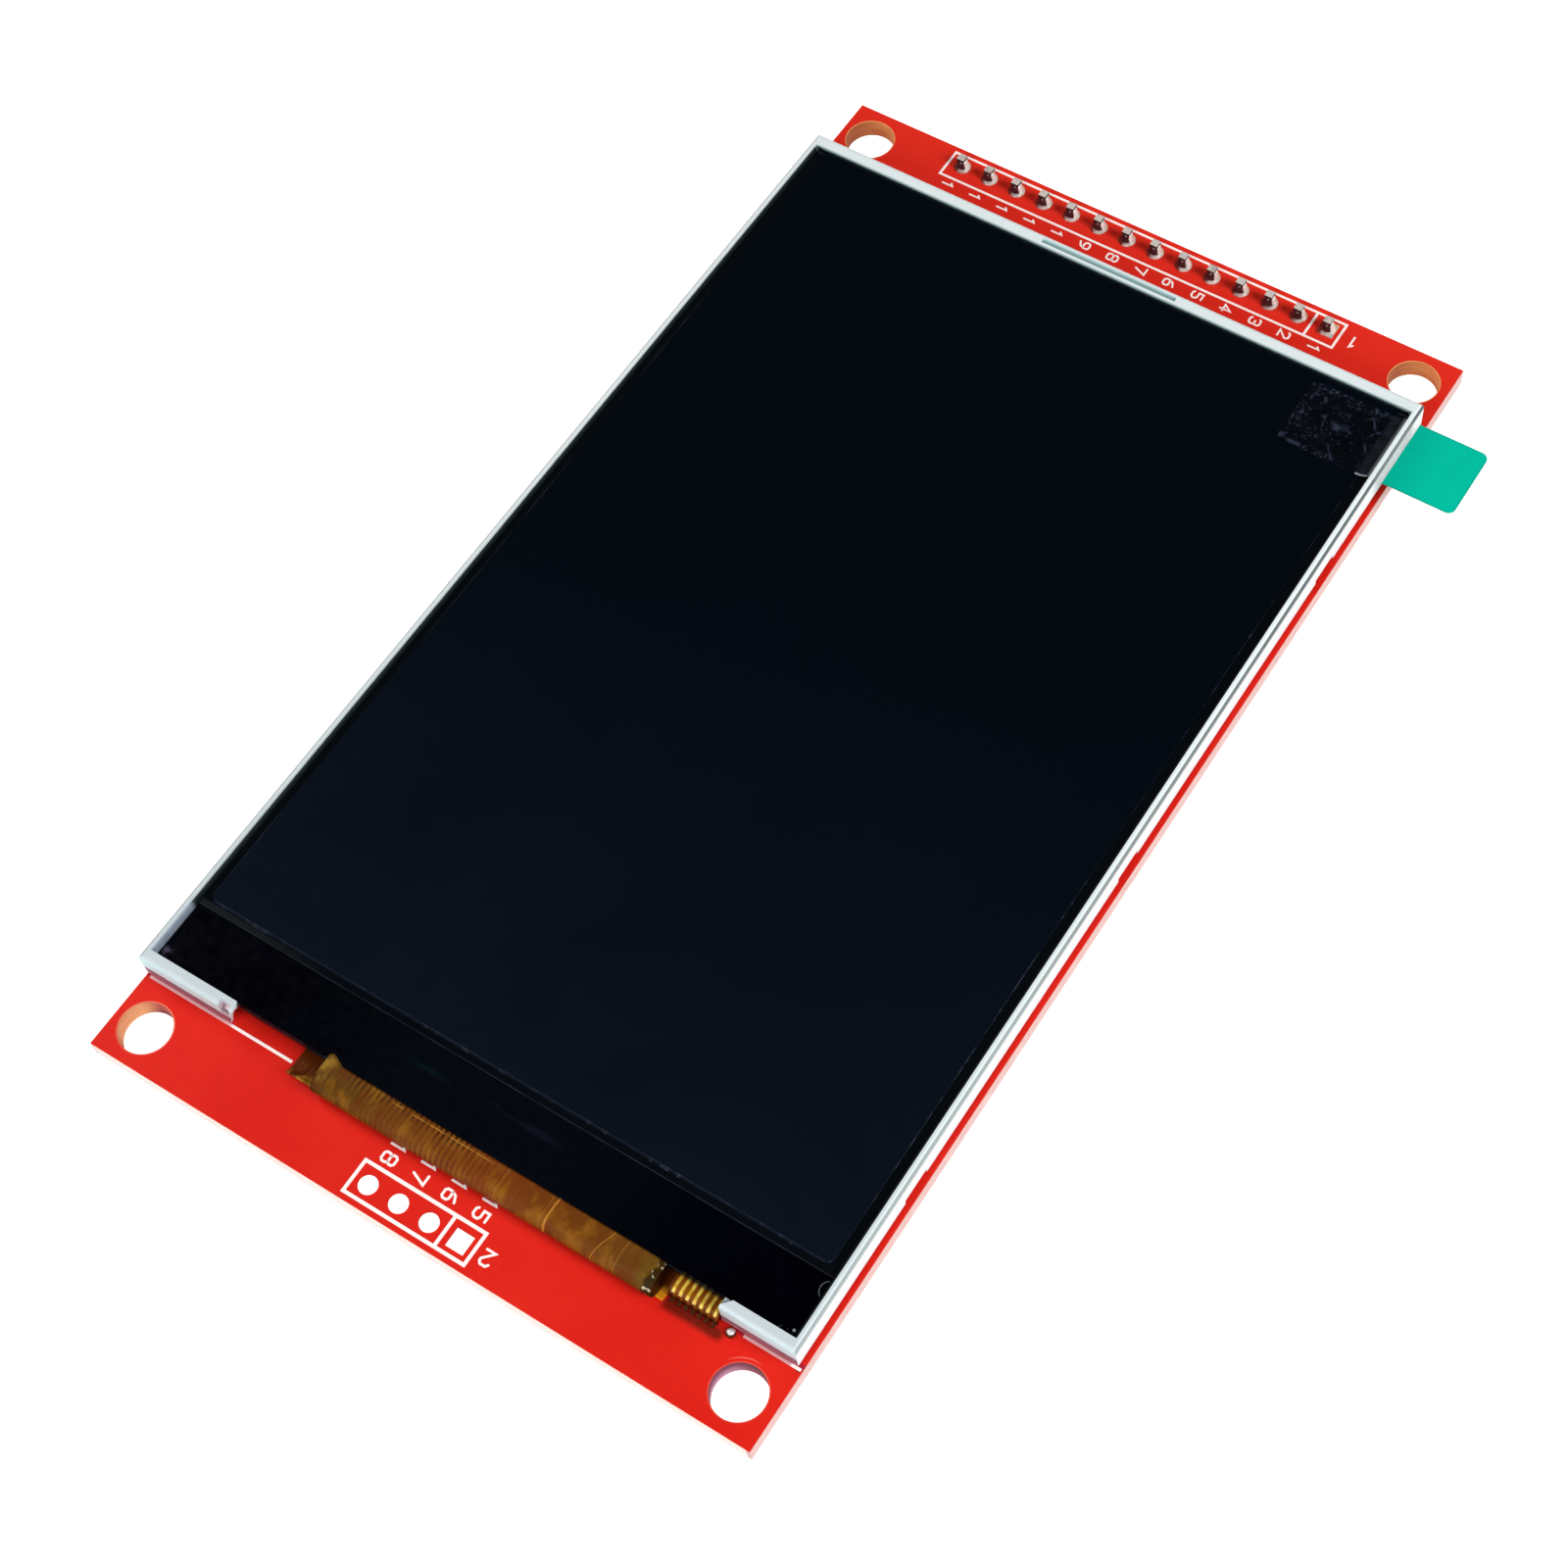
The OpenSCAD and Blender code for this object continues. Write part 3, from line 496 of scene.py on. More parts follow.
# the far bend is painted as a thin greyer line of shade, the cut edge inside it stays pale
far = bez.math("MULTIPLY", bez.span(bnx, -0.5, -0.2, 1.0, 0.0), bez.span(bpz, 2.3 * MM, 2.5 * MM))
pale = bez.mix(bez.math("MULTIPLY", far, 0.6), pale, lin(168, 178, 180))
pale = bez.mix(bez.span(bny, -0.95, -0.6, 1.0, 0.0), pale, lin(204, 234, 238))
# low on the front walls the sheet is painted mauve, as painted shade and reflection of the red board
low_wall = bez.math("MULTIPLY", bez.span(bny, -0.9, -0.6, 1.0, 0.0), bez.span(bpz, 1.3 * MM, 1.55 * MM, 1.0, 0.0))
pale = bez.mix(bez.math("MULTIPLY", low_wall, 0.9), pale, bez.mix(bez.span(bpz, 0.6 * MM, 1.0 * MM), lin(176, 100, 116), lin(126, 48, 80)))
# around the small window at the end of the left foot the sheet is painted grey-mauve, as painted shade
window_shade = bez.math("MULTIPLY", bez.band(bpx, -19.9 * MM, -19.1 * MM, 0.1 * MM), bez.span(bpy_, -42.6 * MM, -42.35 * MM, 1.0, 0.0))
window_shade = bez.math("MULTIPLY", window_shade, bez.span(bpz, 1.5 * MM, 1.8 * MM))
pale = bez.mix(bez.math("MULTIPLY", window_shade, 0.9), pale, bez.mix(bez.span(fleck, 0.4, 0.6), lin(158, 138, 154), lin(196, 184, 194)))
# along the right bend a darker line is painted as shade, darkest towards the header
bent = bez.math("MULTIPLY", bez.span(bnz, 0.7, 0.86, 1.0, 0.0), bez.span(bpz, 2.32 * MM, 2.5 * MM))
bent = bez.math("MULTIPLY", bez.math("MULTIPLY", bent, bez.span(bnx, 0.15, 0.4)), bez.span(bpx, 0.0, 1.0 * MM))
painted_bend_shade = bez.ramp(bez.span(bpy_, -42 * MM, 42 * MM), [(0.0, lin(146, 158, 158)), (0.28, lin(142, 153, 152)), (0.52, lin(112, 124, 122)), (0.76, lin(80, 92, 92)), (1.0, lin(74, 86, 88))])
bez.colour(bez.mix(bent, pale, painted_bend_shade))
bez.rough(bez.span(fleck, 0.3, 0.7, 0.42, 0.6))
bez.bump(bez.math("ADD", fleck, grain), 0.12, 0.00001)
paint(nodes["lcd_bezel"], bez)

# White moulded frame; its white is painted grey-blue, as painted shade
white_pc = Mat("frame_white", rough=0.42, spec=0.4)
wn = white_pc.noise(1800, 3)
wx_, wy_, _ = white_pc.xyz()
tone = white_pc.mix(white_pc.span(wn, 0.3, 0.7), lin(150, 164, 174), lin(176, 188, 196))
# deep in the gaps beside the glass it is in shade
tone = white_pc.mix(white_pc.span(white_pc.math("ABSOLUTE", wx_), 25.6 * MM, 26.0 * MM), tone, white_pc.mix(white_pc.span(wx_, -1.0 * MM, 1.0 * MM), white_pc.mix(white_pc.span(wy_, -37.9 * MM, -37.5 * MM), white_pc.mix(wn, lin(112, 122, 138), lin(160, 172, 186)), lin(20, 30, 32)), lin(10, 13, 17)))
# under the slot in the lip at the header end it is painted grey-green, as painted shade
tone = white_pc.mix(white_pc.span(wy_, 41.2 * MM, 41.6 * MM), tone, lin(132, 158, 158))
# seen through the small window at the end of the left foot it is painted near white, as painted light
pane = white_pc.math("MULTIPLY", white_pc.band(wx_, -20.0 * MM, -18.8 * MM, 0.1 * MM), white_pc.span(wy_, -42.1 * MM, -41.9 * MM, 1.0, 0.0))
tone = white_pc.mix(pane, tone, lin(255, 236, 246))
white_pc.colour(tone)
white_pc.bump(wn, 0.2, 0.00001)
paint(nodes["backlight_frame"], white_pc)


def film_mat(name, a, b, rough, spec=0.5, scale=900, bump=0.05):
    m = Mat(name, rough=rough, spec=spec)
    n = m.noise(scale, 3)
    m.colour(m.mix(m.span(n, 0.3, 0.7), a, b))
    m.rough(m.span(n, 0.3, 0.7, rough * 0.8, rough * 1.25))
    m.bump(n, bump, 0.00001)
    return m


paint(nodes["reflector_sheet"], film_mat("reflector_film", lin(236, 238, 240), lin(248, 248, 250), 0.25))
paint(nodes["light_guide"], film_mat("guide_acrylic", lin(205, 222, 226), lin(222, 236, 238), 0.12))
opt = film_mat("optical_film", lin(222, 228, 230), lin(236, 240, 242), 0.4, scale=2600, bump=0.3)
for n in ("diffuser_sheet", "lower_prism_sheet", "upper_prism_sheet"):
    paint(nodes[n], opt)
paint(nodes["rim_tape"], film_mat("black_tape", lin(14, 14, 15), lin(26, 26, 27), 0.5))
paint(nodes["backlight_leds"], film_mat("lamp_phosphor", lin(232, 214, 96), lin(250, 240, 190), 0.35))
paint(nodes["rear_polariser"], film_mat("polariser_rear", lin(26, 26, 30), lin(38, 38, 42), 0.2))
paint(nodes["driver_chip"], film_mat("chip_silicon", lin(60, 64, 74), lin(84, 88, 100), 0.1))
paint(nodes["foam_tape"], film_mat("foam_tape", lin(196, 150, 160), lin(222, 184, 190), 0.9, spec=0.1, scale=5200, bump=0.8))

# Display glass, dark right through
glass = Mat("panel_glass", rough=0.06, spec=0.22)
gn = glass.noise(60, 2)
gz = glass.math("ABSOLUTE", glass.normal_z())
face = glass.mix(glass.span(gn, 0.35, 0.65), lin(3, 6, 10), lin(5, 9, 14))
gx0_, gy, _ = glass.xyz()
# the bare glass between the cover and the polariser is a shade greyer
margin = glass.span(gy, -36.95 * MM, -36.8 * MM, 1.0, 0.0)
grey = glass.mix(glass.span(gx0_, -24 * MM, -15 * MM), glass.mix(gn, lin(18, 24, 26), lin(30, 37, 38)), glass.mix(gn, lin(1, 3, 8), lin(5, 8, 14)))
face = glass.mix(margin, face, grey)
# its ground edge shows as a thin grey line along the cover
ground = glass.math("MULTIPLY", glass.span(gy, -37.3 * MM, -37.26 * MM, 1.0, 0.0), glass.span(glass.noise(1.0, 3, vec=glass.mapped(scale=(500, 100, 100))), 0.35, 0.65, 0.35, 1.0))
face = glass.mix(ground, face, lin(40, 45, 52))
glass.colour(glass.mix(glass.span(gz, 0.4, 0.6), lin(3, 5, 9), face))
glass.rough(glass.span(gn, 0.3, 0.7, 0.05, 0.1))
for n in ("tft_glass", "colour_filter_glass"):
    paint(nodes[n], glass)


def dark_film(name, x_edge, y_edge, edge_colour):
    """The nearly black polariser and the clear film on it. They look faintly
    blue, a little lighter towards the lower left, and their cut edges catch
    light along a thin broken line."""
    m = Mat(name, rough=0.11, spec=0.16)
    x, y, z = m.xyz()
    along = m.math("ADD", m.math("MULTIPLY", x, 0.08), m.math("MULTIPLY", y, -1.0))
    low = m.span(along, -0.012, 0.046, smooth=True)
    blot = m.noise(38, 3, 0.6, dist=0.6)
    tone = m.mix(low, lin(1, 6, 15), lin(11, 18, 29))
    tone = m.mix(m.span(blot, 0.42, 0.66, 0.0, 0.5), tone, lin(2, 8, 15))
    green = m.math("MULTIPLY", m.band(y, 0.004, 0.024, 0.012), m.band(x, 0.004, 0.02, 0.012))
    tone = m.mix(m.math("MULTIPLY", green, 0.4), tone, lin(1, 13, 12))
    nzz = m.math("ABSOLUTE", m.normal_z())
    dash = m.noise(1.0, 3, vec=m.mapped(scale=(800, 800, 800)))
    wide = m.noise(1.0, 2, vec=m.mapped(scale=(90, 90, 90)))
    rim = m.mix(m.math("MULTIPLY", m.span(dash, 0.56, 0.64), m.span(x, -0.004, 0.010, 0.35, 1.0)), edge_colour, lin(72, 76, 92))
    # a strip 0.1 mm wide just inside the lower cut edge, and a fainter one at the sides
    low_rim = m.span(y, (y_edge + 0.03) * MM, (y_edge + 0.08) * MM, 1.0, 0.0)
    ax = m.math("ABSOLUTE", x)
    side_rim = m.math("MULTIPLY", m.span(ax, (x_edge - 0.1) * MM, (x_edge - 0.05) * MM), m.span(wide, 0.5, 0.6, 0.05, 0.4))
    strip = m.math("MULTIPLY", m.math("MAXIMUM", low_rim, side_rim), m.span(dash, 0.36, 0.6, 0.35, 1.0))
    tone = m.mix(strip, tone, rim)
    m.colour(m.mix(m.span(nzz, 0.4, 0.6), rim, tone))
    haze = m.noise(700, 4)
    m.rough(m.span(haze, 0.3, 0.7, 0.08, 0.14))
    m.bump(m.noise(220, 2), 0.06, 0.00001)
    return m


paint(nodes["front_polariser"], dark_film("polariser_front", 25.5, -36.85, lin(18, 22, 30)))
paint(nodes["protective_film"], dark_film("clear_film", 25.65, -36.73, lin(40, 46, 58)))

# Glossy black cover on the ledge
cover = Mat("cover_black", rough=0.16, spec=0.05)
cx_, cy_, cz_ = cover.xyz()
cn = cover.noise(160, 3, dist=0.8)
tone = cover.mix(cover.span(cn, 0.4, 0.7), lin(0, 0, 4), lin(1, 2, 8))
tone = cover.mix(cover.band(cx_, -11 * MM, 13 * MM, 6 * MM), tone, lin(4, 8, 14))
# the chip under the tape lifts it in one long soft ridge, drawn as painted bluish streaks of reflection
streaky = cover.span(cover.noise(1.0, 3, vec=cover.mapped(scale=(170, 1200, 200))), 0.4, 0.62)
ridge_sheen = cover.math("MULTIPLY", cover.band(cy_, -39.15 * MM, -38.8 * MM, 0.2 * MM), cover.band(cx_, 0.6 * MM, 5.2 * MM, 1.2 * MM))
ridge2_sheen = cover.math("MULTIPLY", cover.band(cy_, -39.3 * MM, -39.0 * MM, 0.15 * MM), cover.band(cx_, -6.0 * MM, -3.6 * MM, 0.8 * MM))
tone = cover.mix(cover.math("MULTIPLY", ridge_sheen, cover.math("MULTIPLY", streaky, 0.8)), tone, lin(24, 28, 46))
tone = cover.mix(cover.math("MULTIPLY", ridge2_sheen, 0.6), tone, lin(6, 26, 30))
# a small mauve blister at the left corner, specks of grit at the right one
cells = cover.noise(2600, 3)
blister = cover.math("MULTIPLY", cover.spot(-25.75, -41.35, 0.3, 0.2), cover.span(cells, 0.4, 0.6))
tone = cover.mix(blister, tone, lin(84, 78, 104))
grit = cover.math("MULTIPLY", cover.spot(25.5, -41.35, 0.5, 0.25), cover.span(cells, 0.62, 0.68))
tone = cover.mix(cover.math("MULTIPLY", grit, 0.7), tone, lin(120, 142, 156))
# a painted highlight at the right corner
tone = cover.mix(cover.spot(25.93, -41.5, 0.09, 0.04), tone, lin(232, 238, 242))
hook = cover.math("MULTIPLY", cover.spot(26.45, -38.2, 0.72, 0.02), cover.spot(26.45, -38.2, 0.64, 0.02))
hook = cover.math("SUBTRACT", cover.spot(26.45, -38.2, 0.72, 0.02), hook)
tone = cover.mix(cover.math("MULTIPLY", hook, cover.span(cells, 0.3, 0.6)), tone, lin(96, 106, 116))
cover.colour(tone)
cover.rough(cover.span(cover.noise(1200, 3), 0.3, 0.7, 0.14, 0.28))
cover.bump(cn, 0.12, 0.00003)
paint(nodes["ledge_cover"], cover)


# Flexible circuits: amber film over copper tracks that run round the bend
amber = Mat("polyimide_main", rough=0.4, spec=0.07)
ax_, ay_, az_ = amber.xyz()
wob = amber.noise(420, 3)
grime = amber.noise(1.0, 3, vec=amber.mapped(scale=(160, 500, 500)))
stops = [(0.0, lin(86, 56, 17)), (0.1, lin(94, 60, 15)), (0.28, lin(108, 58, 13)), (0.5, lin(116, 52, 13)), (0.75, lin(108, 56, 13)), (1.0, lin(96, 62, 18))]
tone = amber.ramp(amber.span(ax_, -11.4 * MM, 16.4 * MM), stops)
tone = amber.mix(amber.span(grime, 0.35, 0.7, 0.0, 0.3), tone, lin(132, 78, 28))
# tracks go round the bend, 0.42 mm apart at the left and finer beyond
blur = amber.span(amber.noise(1.0, 2, vec=amber.mapped(scale=(220, 260, 260))), 0.35, 0.65, 0.25, 1.0)
coarse = amber.math("SINE", amber.math("ADD", amber.math("MULTIPLY", ax_, 2 * math.pi / (0.42 * MM)), amber.math("MULTIPLY", wob, 3.2)))
finer = amber.math("SINE", amber.math("ADD", amber.math("MULTIPLY", ax_, 2 * math.pi / (0.2 * MM)), amber.math("MULTIPLY", wob, 6.0)))
left_half = amber.span(ax_, -1.0 * MM, 5.0 * MM, 1.0, 0.15)
line = amber.math("MULTIPLY", amber.math("ADD", amber.math("MULTIPLY", coarse, left_half), amber.math("MULTIPLY", finer, 0.35)), blur)
gilt = amber.noise(1.0, 3, vec=amber.mapped(scale=(700, 420, 420)))
tone = amber.mix(amber.span(gilt, 0.5, 0.68, 0.0, 0.55), tone, lin(158, 104, 24))
tone = amber.mix(amber.span(gilt, 0.32, 0.46, 0.5, 0.0), tone, lin(104, 38, 9))
tone = amber.mix(amber.span(line, 0.0, 1.1, 0.0, 0.55), tone, lin(60, 25, 6))
tone = amber.mix(amber.span(line, -1.1, -0.3, 0.45, 0.0), tone, lin(166, 112, 30))
# the ribs stand out as dark notches along the upper edge
teeth = amber.math("MULTIPLY", amber.span(coarse, 0.1, 0.6), amber.band(ax_, -8.8 * MM, 1.0 * MM, 1.2 * MM))
teeth = amber.math("MULTIPLY", teeth, amber.math("MULTIPLY", amber.span(az_, 1.9 * MM, 1.98 * MM), amber.span(ay_, -42.75 * MM, -42.35 * MM)))
tone = amber.mix(amber.math("MULTIPLY", teeth, amber.span(wob, 0.42, 0.58, 0.2, 0.8)), tone, lin(18, 9, 4))
# bruised left end with its paler upper corner
left_end = amber.math("MULTIPLY", amber.span(ax_, -11.25 * MM, -10.95 * MM, 1.0, 0.0), amber.span(az_, 0.3 * MM, 0.5 * MM))
tone = amber.mix(amber.math("MULTIPLY", left_end, amber.span(wob, 0.42, 0.55, 0.25, 0.85)), tone, lin(58, 22, 9))
corner = amber.math("MULTIPLY", amber.span(ax_, -11.1 * MM, -10.3 * MM, 1.0, 0.0), amber.span(az_, 1.75 * MM, 1.95 * MM))
tone = amber.mix(amber.math("MULTIPLY", corner, amber.span(wob, 0.48, 0.62, 0.0, 0.6)), tone, lin(172, 134, 48))
# the lower half of the bend looks down on the red board and is painted darker, as painted shade
under = amber.span(az_, 0.35 * MM, 1.3 * MM, 0.75, 0.0)
tone = amber.mix(under, tone, lin(92, 34, 12))
# single wider tracks
for x0, w, k in ((3.9, 0.08, 0.22), (7.95, 0.12, 0.6), (7.55, 0.05, 0.3), (13.5, 0.05, 0.3)):
    b_ = amber.band(amber.math("ADD", ax_, amber.math("MULTIPLY", amber.math("SUBTRACT", gilt, 0.5), 0.5 * MM)), (x0 - w / 2) * MM, (x0 + w / 2) * MM, 0.03 * MM)
    tone = amber.mix(amber.math("MULTIPLY", b_, k), tone, lin(222, 148, 62))
# a slanting track near the right end
slant = amber.math("ADD", amber.math("MULTIPLY", amber.math("SUBTRACT", ax_, 11.85 * MM), 3.0), amber.math("MULTIPLY", amber.math("ADD", ay_, 43.6 * MM), -1.0))
b_ = amber.math("MULTIPLY", amber.band(slant, -0.09 * MM, 0.09 * MM, 0.05 * MM), amber.band(ax_, 11.5 * MM, 12.5 * MM, 0.05 * MM))
tone = amber.mix(amber.math("MULTIPLY", b_, 0.6), tone, lin(214, 138, 58))
# broken line where the cover film ends, close to the ledge cover
stitch = amber.math("MULTIPLY", amber.band(ay_, -42.24 * MM, -42.16 * MM, 0.03 * MM), amber.span(az_, 1.9 * MM, 1.95 * MM))
stitch = amber.math("MULTIPLY", stitch, amber.band(ax_, -5.6 * MM, 2.6 * MM, 0.6 * MM))
stitch = amber.math("MULTIPLY", stitch, amber.span(amber.noise(1.0, 2, vec=amber.mapped(scale=(1100, 100, 100))), 0.36, 0.5))
tone = amber.mix(amber.math("MULTIPLY", stitch, 0.7), tone, lin(190, 130, 50))
# glue and grit where the right end was torn from its carrier
torn = amber.math("MULTIPLY", amber.span(ax_, 14.6 * MM, 16.2 * MM, 0.0, 0.75), amber.span(az_, 0.3 * MM, 0.5 * MM))
frayed = amber.math("MULTIPLY", amber.span(amber.math("ADD", ax_, amber.math("MULTIPLY", amber.math("SUBTRACT", wob, 0.5), 2.4 * MM)), 15.75 * MM, 16.0 * MM), amber.span(az_, 0.3 * MM, 0.5 * MM))
tone = amber.mix(amber.math("MULTIPLY", torn, amber.span(wob, 0.4, 0.6, 0.2, 0.8)), tone, lin(112, 96, 24))
crumb = amber.span(amber.noise(2400, 3), 0.6, 0.66)
tone = amber.mix(amber.math("MULTIPLY", frayed, 0.85), tone, lin(30, 17, 6))
tone = amber.mix(amber.math("MULTIPLY", amber.math("MULTIPLY", frayed, crumb), 0.85), tone, lin(214, 208, 176))
# the tail on the board: painted glints at the left; at the right clear amber, painted lit at the front and in painted
# shade behind
flat_t = amber.span(az_, 0.25 * MM, 0.35 * MM, 1.0, 0.0)
left_t = amber.math("MULTIPLY", flat_t, amber.span(ax_, -11.5 * MM, -11.4 * MM, 1.0, 0.0))
right_t = amber.math("MULTIPLY", flat_t, amber.span(ax_, 16.4 * MM, 16.5 * MM))
glint = amber.math("MULTIPLY", amber.span(wob, 0.48, 0.6), amber.span(ay_, -43.45 * MM, -42.9 * MM, 1.0, 0.08))
tone = amber.mix(left_t, tone, amber.mix(glint, lin(98, 40, 8), lin(226, 160, 50)))
tone = amber.mix(right_t, tone, amber.mix(amber.span(ay_, -43.1 * MM, -42.7 * MM), lin(232, 148, 30), lin(110, 50, 10)))
amber.colour(tone)
amber.rough(amber.span(wob, 0.3, 0.7, 0.28, 0.46))
amber.bump(amber.math("ADD", amber.math("MULTIPLY", line, 0.5), amber.math("MULTIPLY", wob, 1.4)), 0.5, 0.00003)
paint(nodes["main_flex"], amber)

amber2 = Mat("polyimide_lamp", rough=0.36, spec=0.12)
lx, ly, lz = amber2.xyz()
ln = amber2.noise(900, 3)
tone = amber2.mix(amber2.span(ln, 0.3, 0.7), lin(116, 58, 6), lin(150, 80, 10))
ends = amber2.span(lx, 17.2 * MM, 17.32 * MM, 1.0, 0.0)
tone = amber2.mix(amber2.math("MULTIPLY", ends, 0.7), tone, lin(66, 22, 8))
# streaks of light between the tracks, fading into shade at the foot
streak = amber2.math("SINE", amber2.math("MULTIPLY", amber2.math("SUBTRACT", lx, 17.49 * MM), 2 * math.pi / (0.535 * MM)))
shade = amber2.span(lz, 0.55 * MM, 1.05 * MM, 1.0, 0.0)
dark = amber2.mix(amber2.span(streak, 0.2, 1.0, 0.0, 0.5), lin(52, 22, 5), lin(176, 96, 18))
dark = amber2.mix(amber2.span(lz, 0.2 * MM, 0.8 * MM, 1.0, 0.0), dark, lin(40, 14, 5))
amber2.colour(amber2.mix(shade, tone, dark))
amber2.rough(amber2.span(ln, 0.3, 0.7, 0.22, 0.4))
amber2.bump(ln, 0.3, 0.00002)
paint(nodes["backlight_flex"], amber2)
paint(nodes["header_solder"], joint)
paint(nodes["tail_solder"], solder)

# the row at the foot of the lamp circuit is browned with flux and painted dark as shade under the bend; the bead is
# clean and bright, painted dark round its rim as shade
foot_m = Mat("foot_solder", metal=0.3, spec=0.5)
fx, fy, fz = foot_m.xyz()
ffn = foot_m.noise(3200, 3)
bead_side = foot_m.span(fx, 21.2 * MM, 21.3 * MM)
bead_d = foot_m.spot(21.93, -43.12, 0.28, 0.04)
foot_m.colour(foot_m.mix(foot_m.math("MULTIPLY", bead_side, bead_d), foot_m.mix(ffn, lin(46, 16, 6), lin(120, 62, 22)), foot_m.mix(ffn, lin(226, 222, 220), lin(252, 250, 248))))
foot_m.rough(foot_m.span(ffn, 0.3, 0.7, 0.22, 0.4))
foot_m.bump(ffn, 0.35, 0.00002)
paint(nodes["flex_solder"], foot_m)
rim_pad = Mat("header_pad_tin", metal=0.2, spec=0.45)
hx_, hy_, _ = rim_pad.xyz()
hcell = rim_pad.math("DIVIDE", hx_, 2.54 * MM)
hdx = rim_pad.math("MULTIPLY", rim_pad.math("SUBTRACT", rim_pad.math("FRACT", hcell), 0.5), 2.54)
hdy = rim_pad.math("SUBTRACT", rim_pad.math("DIVIDE", hy_, MM), 47.4)
hn = rim_pad.noise(1500, 3)
hw = rim_pad.math("MULTIPLY", rim_pad.math("SUBTRACT", hn, 0.5), 0.9)
# the pad's rim is painted cream towards the light, grey below and brown-red on the far side, as painted light and shade
hover = rim_pad.math("ADD", rim_pad.math("ADD", rim_pad.math("MULTIPLY", hdx, 0.84), rim_pad.math("MULTIPLY", hdy, 0.54)), hw)
hdown = rim_pad.math("ADD", rim_pad.math("SUBTRACT", rim_pad.math("MULTIPLY", hdx, 0.443), rim_pad.math("MULTIPLY", hdy, 0.747)), hw)
pad_c = rim_pad.mix(rim_pad.span(hover, 0.1, 0.5), rim_pad.mix(hn, lin(150, 40, 32), lin(178, 70, 54)), rim_pad.mix(hn, lin(206, 168, 120), lin(240, 226, 196)))
pad_c = rim_pad.mix(rim_pad.span(hdown, 0.35, 0.6), pad_c, rim_pad.mix(hn, lin(150, 150, 142), lin(240, 242, 236)))
rim_pad.colour(pad_c)
rim_pad.rough(rim_pad.span(hn, 0.3, 0.7, 0.3, 0.5))
rim_pad.bump(hn, 0.2, 0.00001)
paint(nodes["header_pads"], rim_pad)
paint(nodes["card_header_pads"], bright_pad)
paint(nodes["header_pins"], tip_pin)
strip_m = Mat("lamp_strips", metal=0.2, spec=0.5)
sx_, sy_, sz_ = strip_m.xyz()
sn_ = strip_m.noise(1600, 3)
# a painted highlight, cream, where the strips turn over the bend
turn_ = strip_m.math("MULTIPLY", strip_m.span(sy_, -43.22 * MM, -43.0 * MM, 1.0, 0.0), strip_m.span(sn_, 0.35, 0.55, 0.4, 1.0))
s_off = strip_m.math("ABSOLUTE", strip_m.math("SUBTRACT", strip_m.math("FRACT", strip_m.math("ADD", strip_m.math("DIVIDE", strip_m.math("SUBTRACT", sx_, 17.49 * MM), 0.535 * MM), 0.5)), 0.5))
s_edge = strip_m.span(s_off, 0.15, 0.24, 0.0, 0.75)
strip_c = strip_m.mix(strip_m.math("MULTIPLY", turn_, 0.8), strip_m.mix(strip_m.span(sn_, 0.35, 0.65), lin(214, 160, 34), lin(255, 222, 92)), lin(255, 246, 214))
strip_m.colour(strip_m.mix(s_edge, strip_c, lin(112, 58, 10)))
strip_m.rough(strip_m.span(sn_, 0.3, 0.7, 0.26, 0.4))
strip_m.bump(sn_, 0.15, 0.00001)
paint(nodes["backlight_contacts"], strip_m)
paint(nodes["header_housing"], black_nylon)
paint(nodes["card_socket_base"], black_nylon)
paint(nodes["card_socket_shell"], nickel)
paint(nodes["card_socket_contacts"], pin_gold)

# Moulded packages: black body, tinned leads outside it


def package_mat(name, half):
    """Black moulded body; the leads, beyond half a width from y = 40, are tinned."""
    m = Mat(name, spec=0.4)
    _, y, _ = m.xyz()
    n = m.noise(2200, 4)
    lead = m.span(m.math("ABSOLUTE", m.math("SUBTRACT", y, 40 * MM)), (half + 0.003) * MM, (half + 0.02) * MM)
    body = m.mix(m.span(n, 0.3, 0.7), lin(24, 24, 27), lin(42, 42, 46))
    m.colour(m.mix(lead, body, m.mix(n, lin(190, 190, 186), lin(222, 222, 218))))
    m.metal(m.math("MULTIPLY", lead, 0.9))
    m.rough(m.span(n, 0.3, 0.7, 0.32, 0.52))
    m.bump(n, 0.4, 0.00002)
    return m


paint(nodes["voltage_regulator"], package_mat("package_regulator", 0.8))
paint(nodes["backlight_transistor"], package_mat("package_transistor", 0.65))

res_m = Mat("resistor_body", rough=0.25)
rz = res_m.math("ABSOLUTE", res_m.normal_z())
rn = res_m.noise(2600, 3)
res_m.colour(
    res_m.mix(
        res_m.span(rz, 0.4, 0.6),
        res_m.mix(rn, lin(214, 214, 208), lin(236, 236, 232)),
        res_m.mix(res_m.span(rn, 0.3, 0.7), lin(18, 18, 20), lin(34, 34, 38)),
    )
)
res_m.bump(rn, 0.15, 0.00001)
paint(nodes["resistors"], res_m)
cap_m = Mat("capacitor_body", rough=0.45)
pn = cap_m.noise(2600, 3)
cap_m.colour(cap_m.mix(cap_m.span(pn, 0.3, 0.7), lin(170, 138, 98), lin(196, 164, 122)))
cap_m.bump(pn, 0.2, 0.00001)
paint(nodes["capacitors"], cap_m)

# ---------------------------------------------------------------- print

INK = 0.018


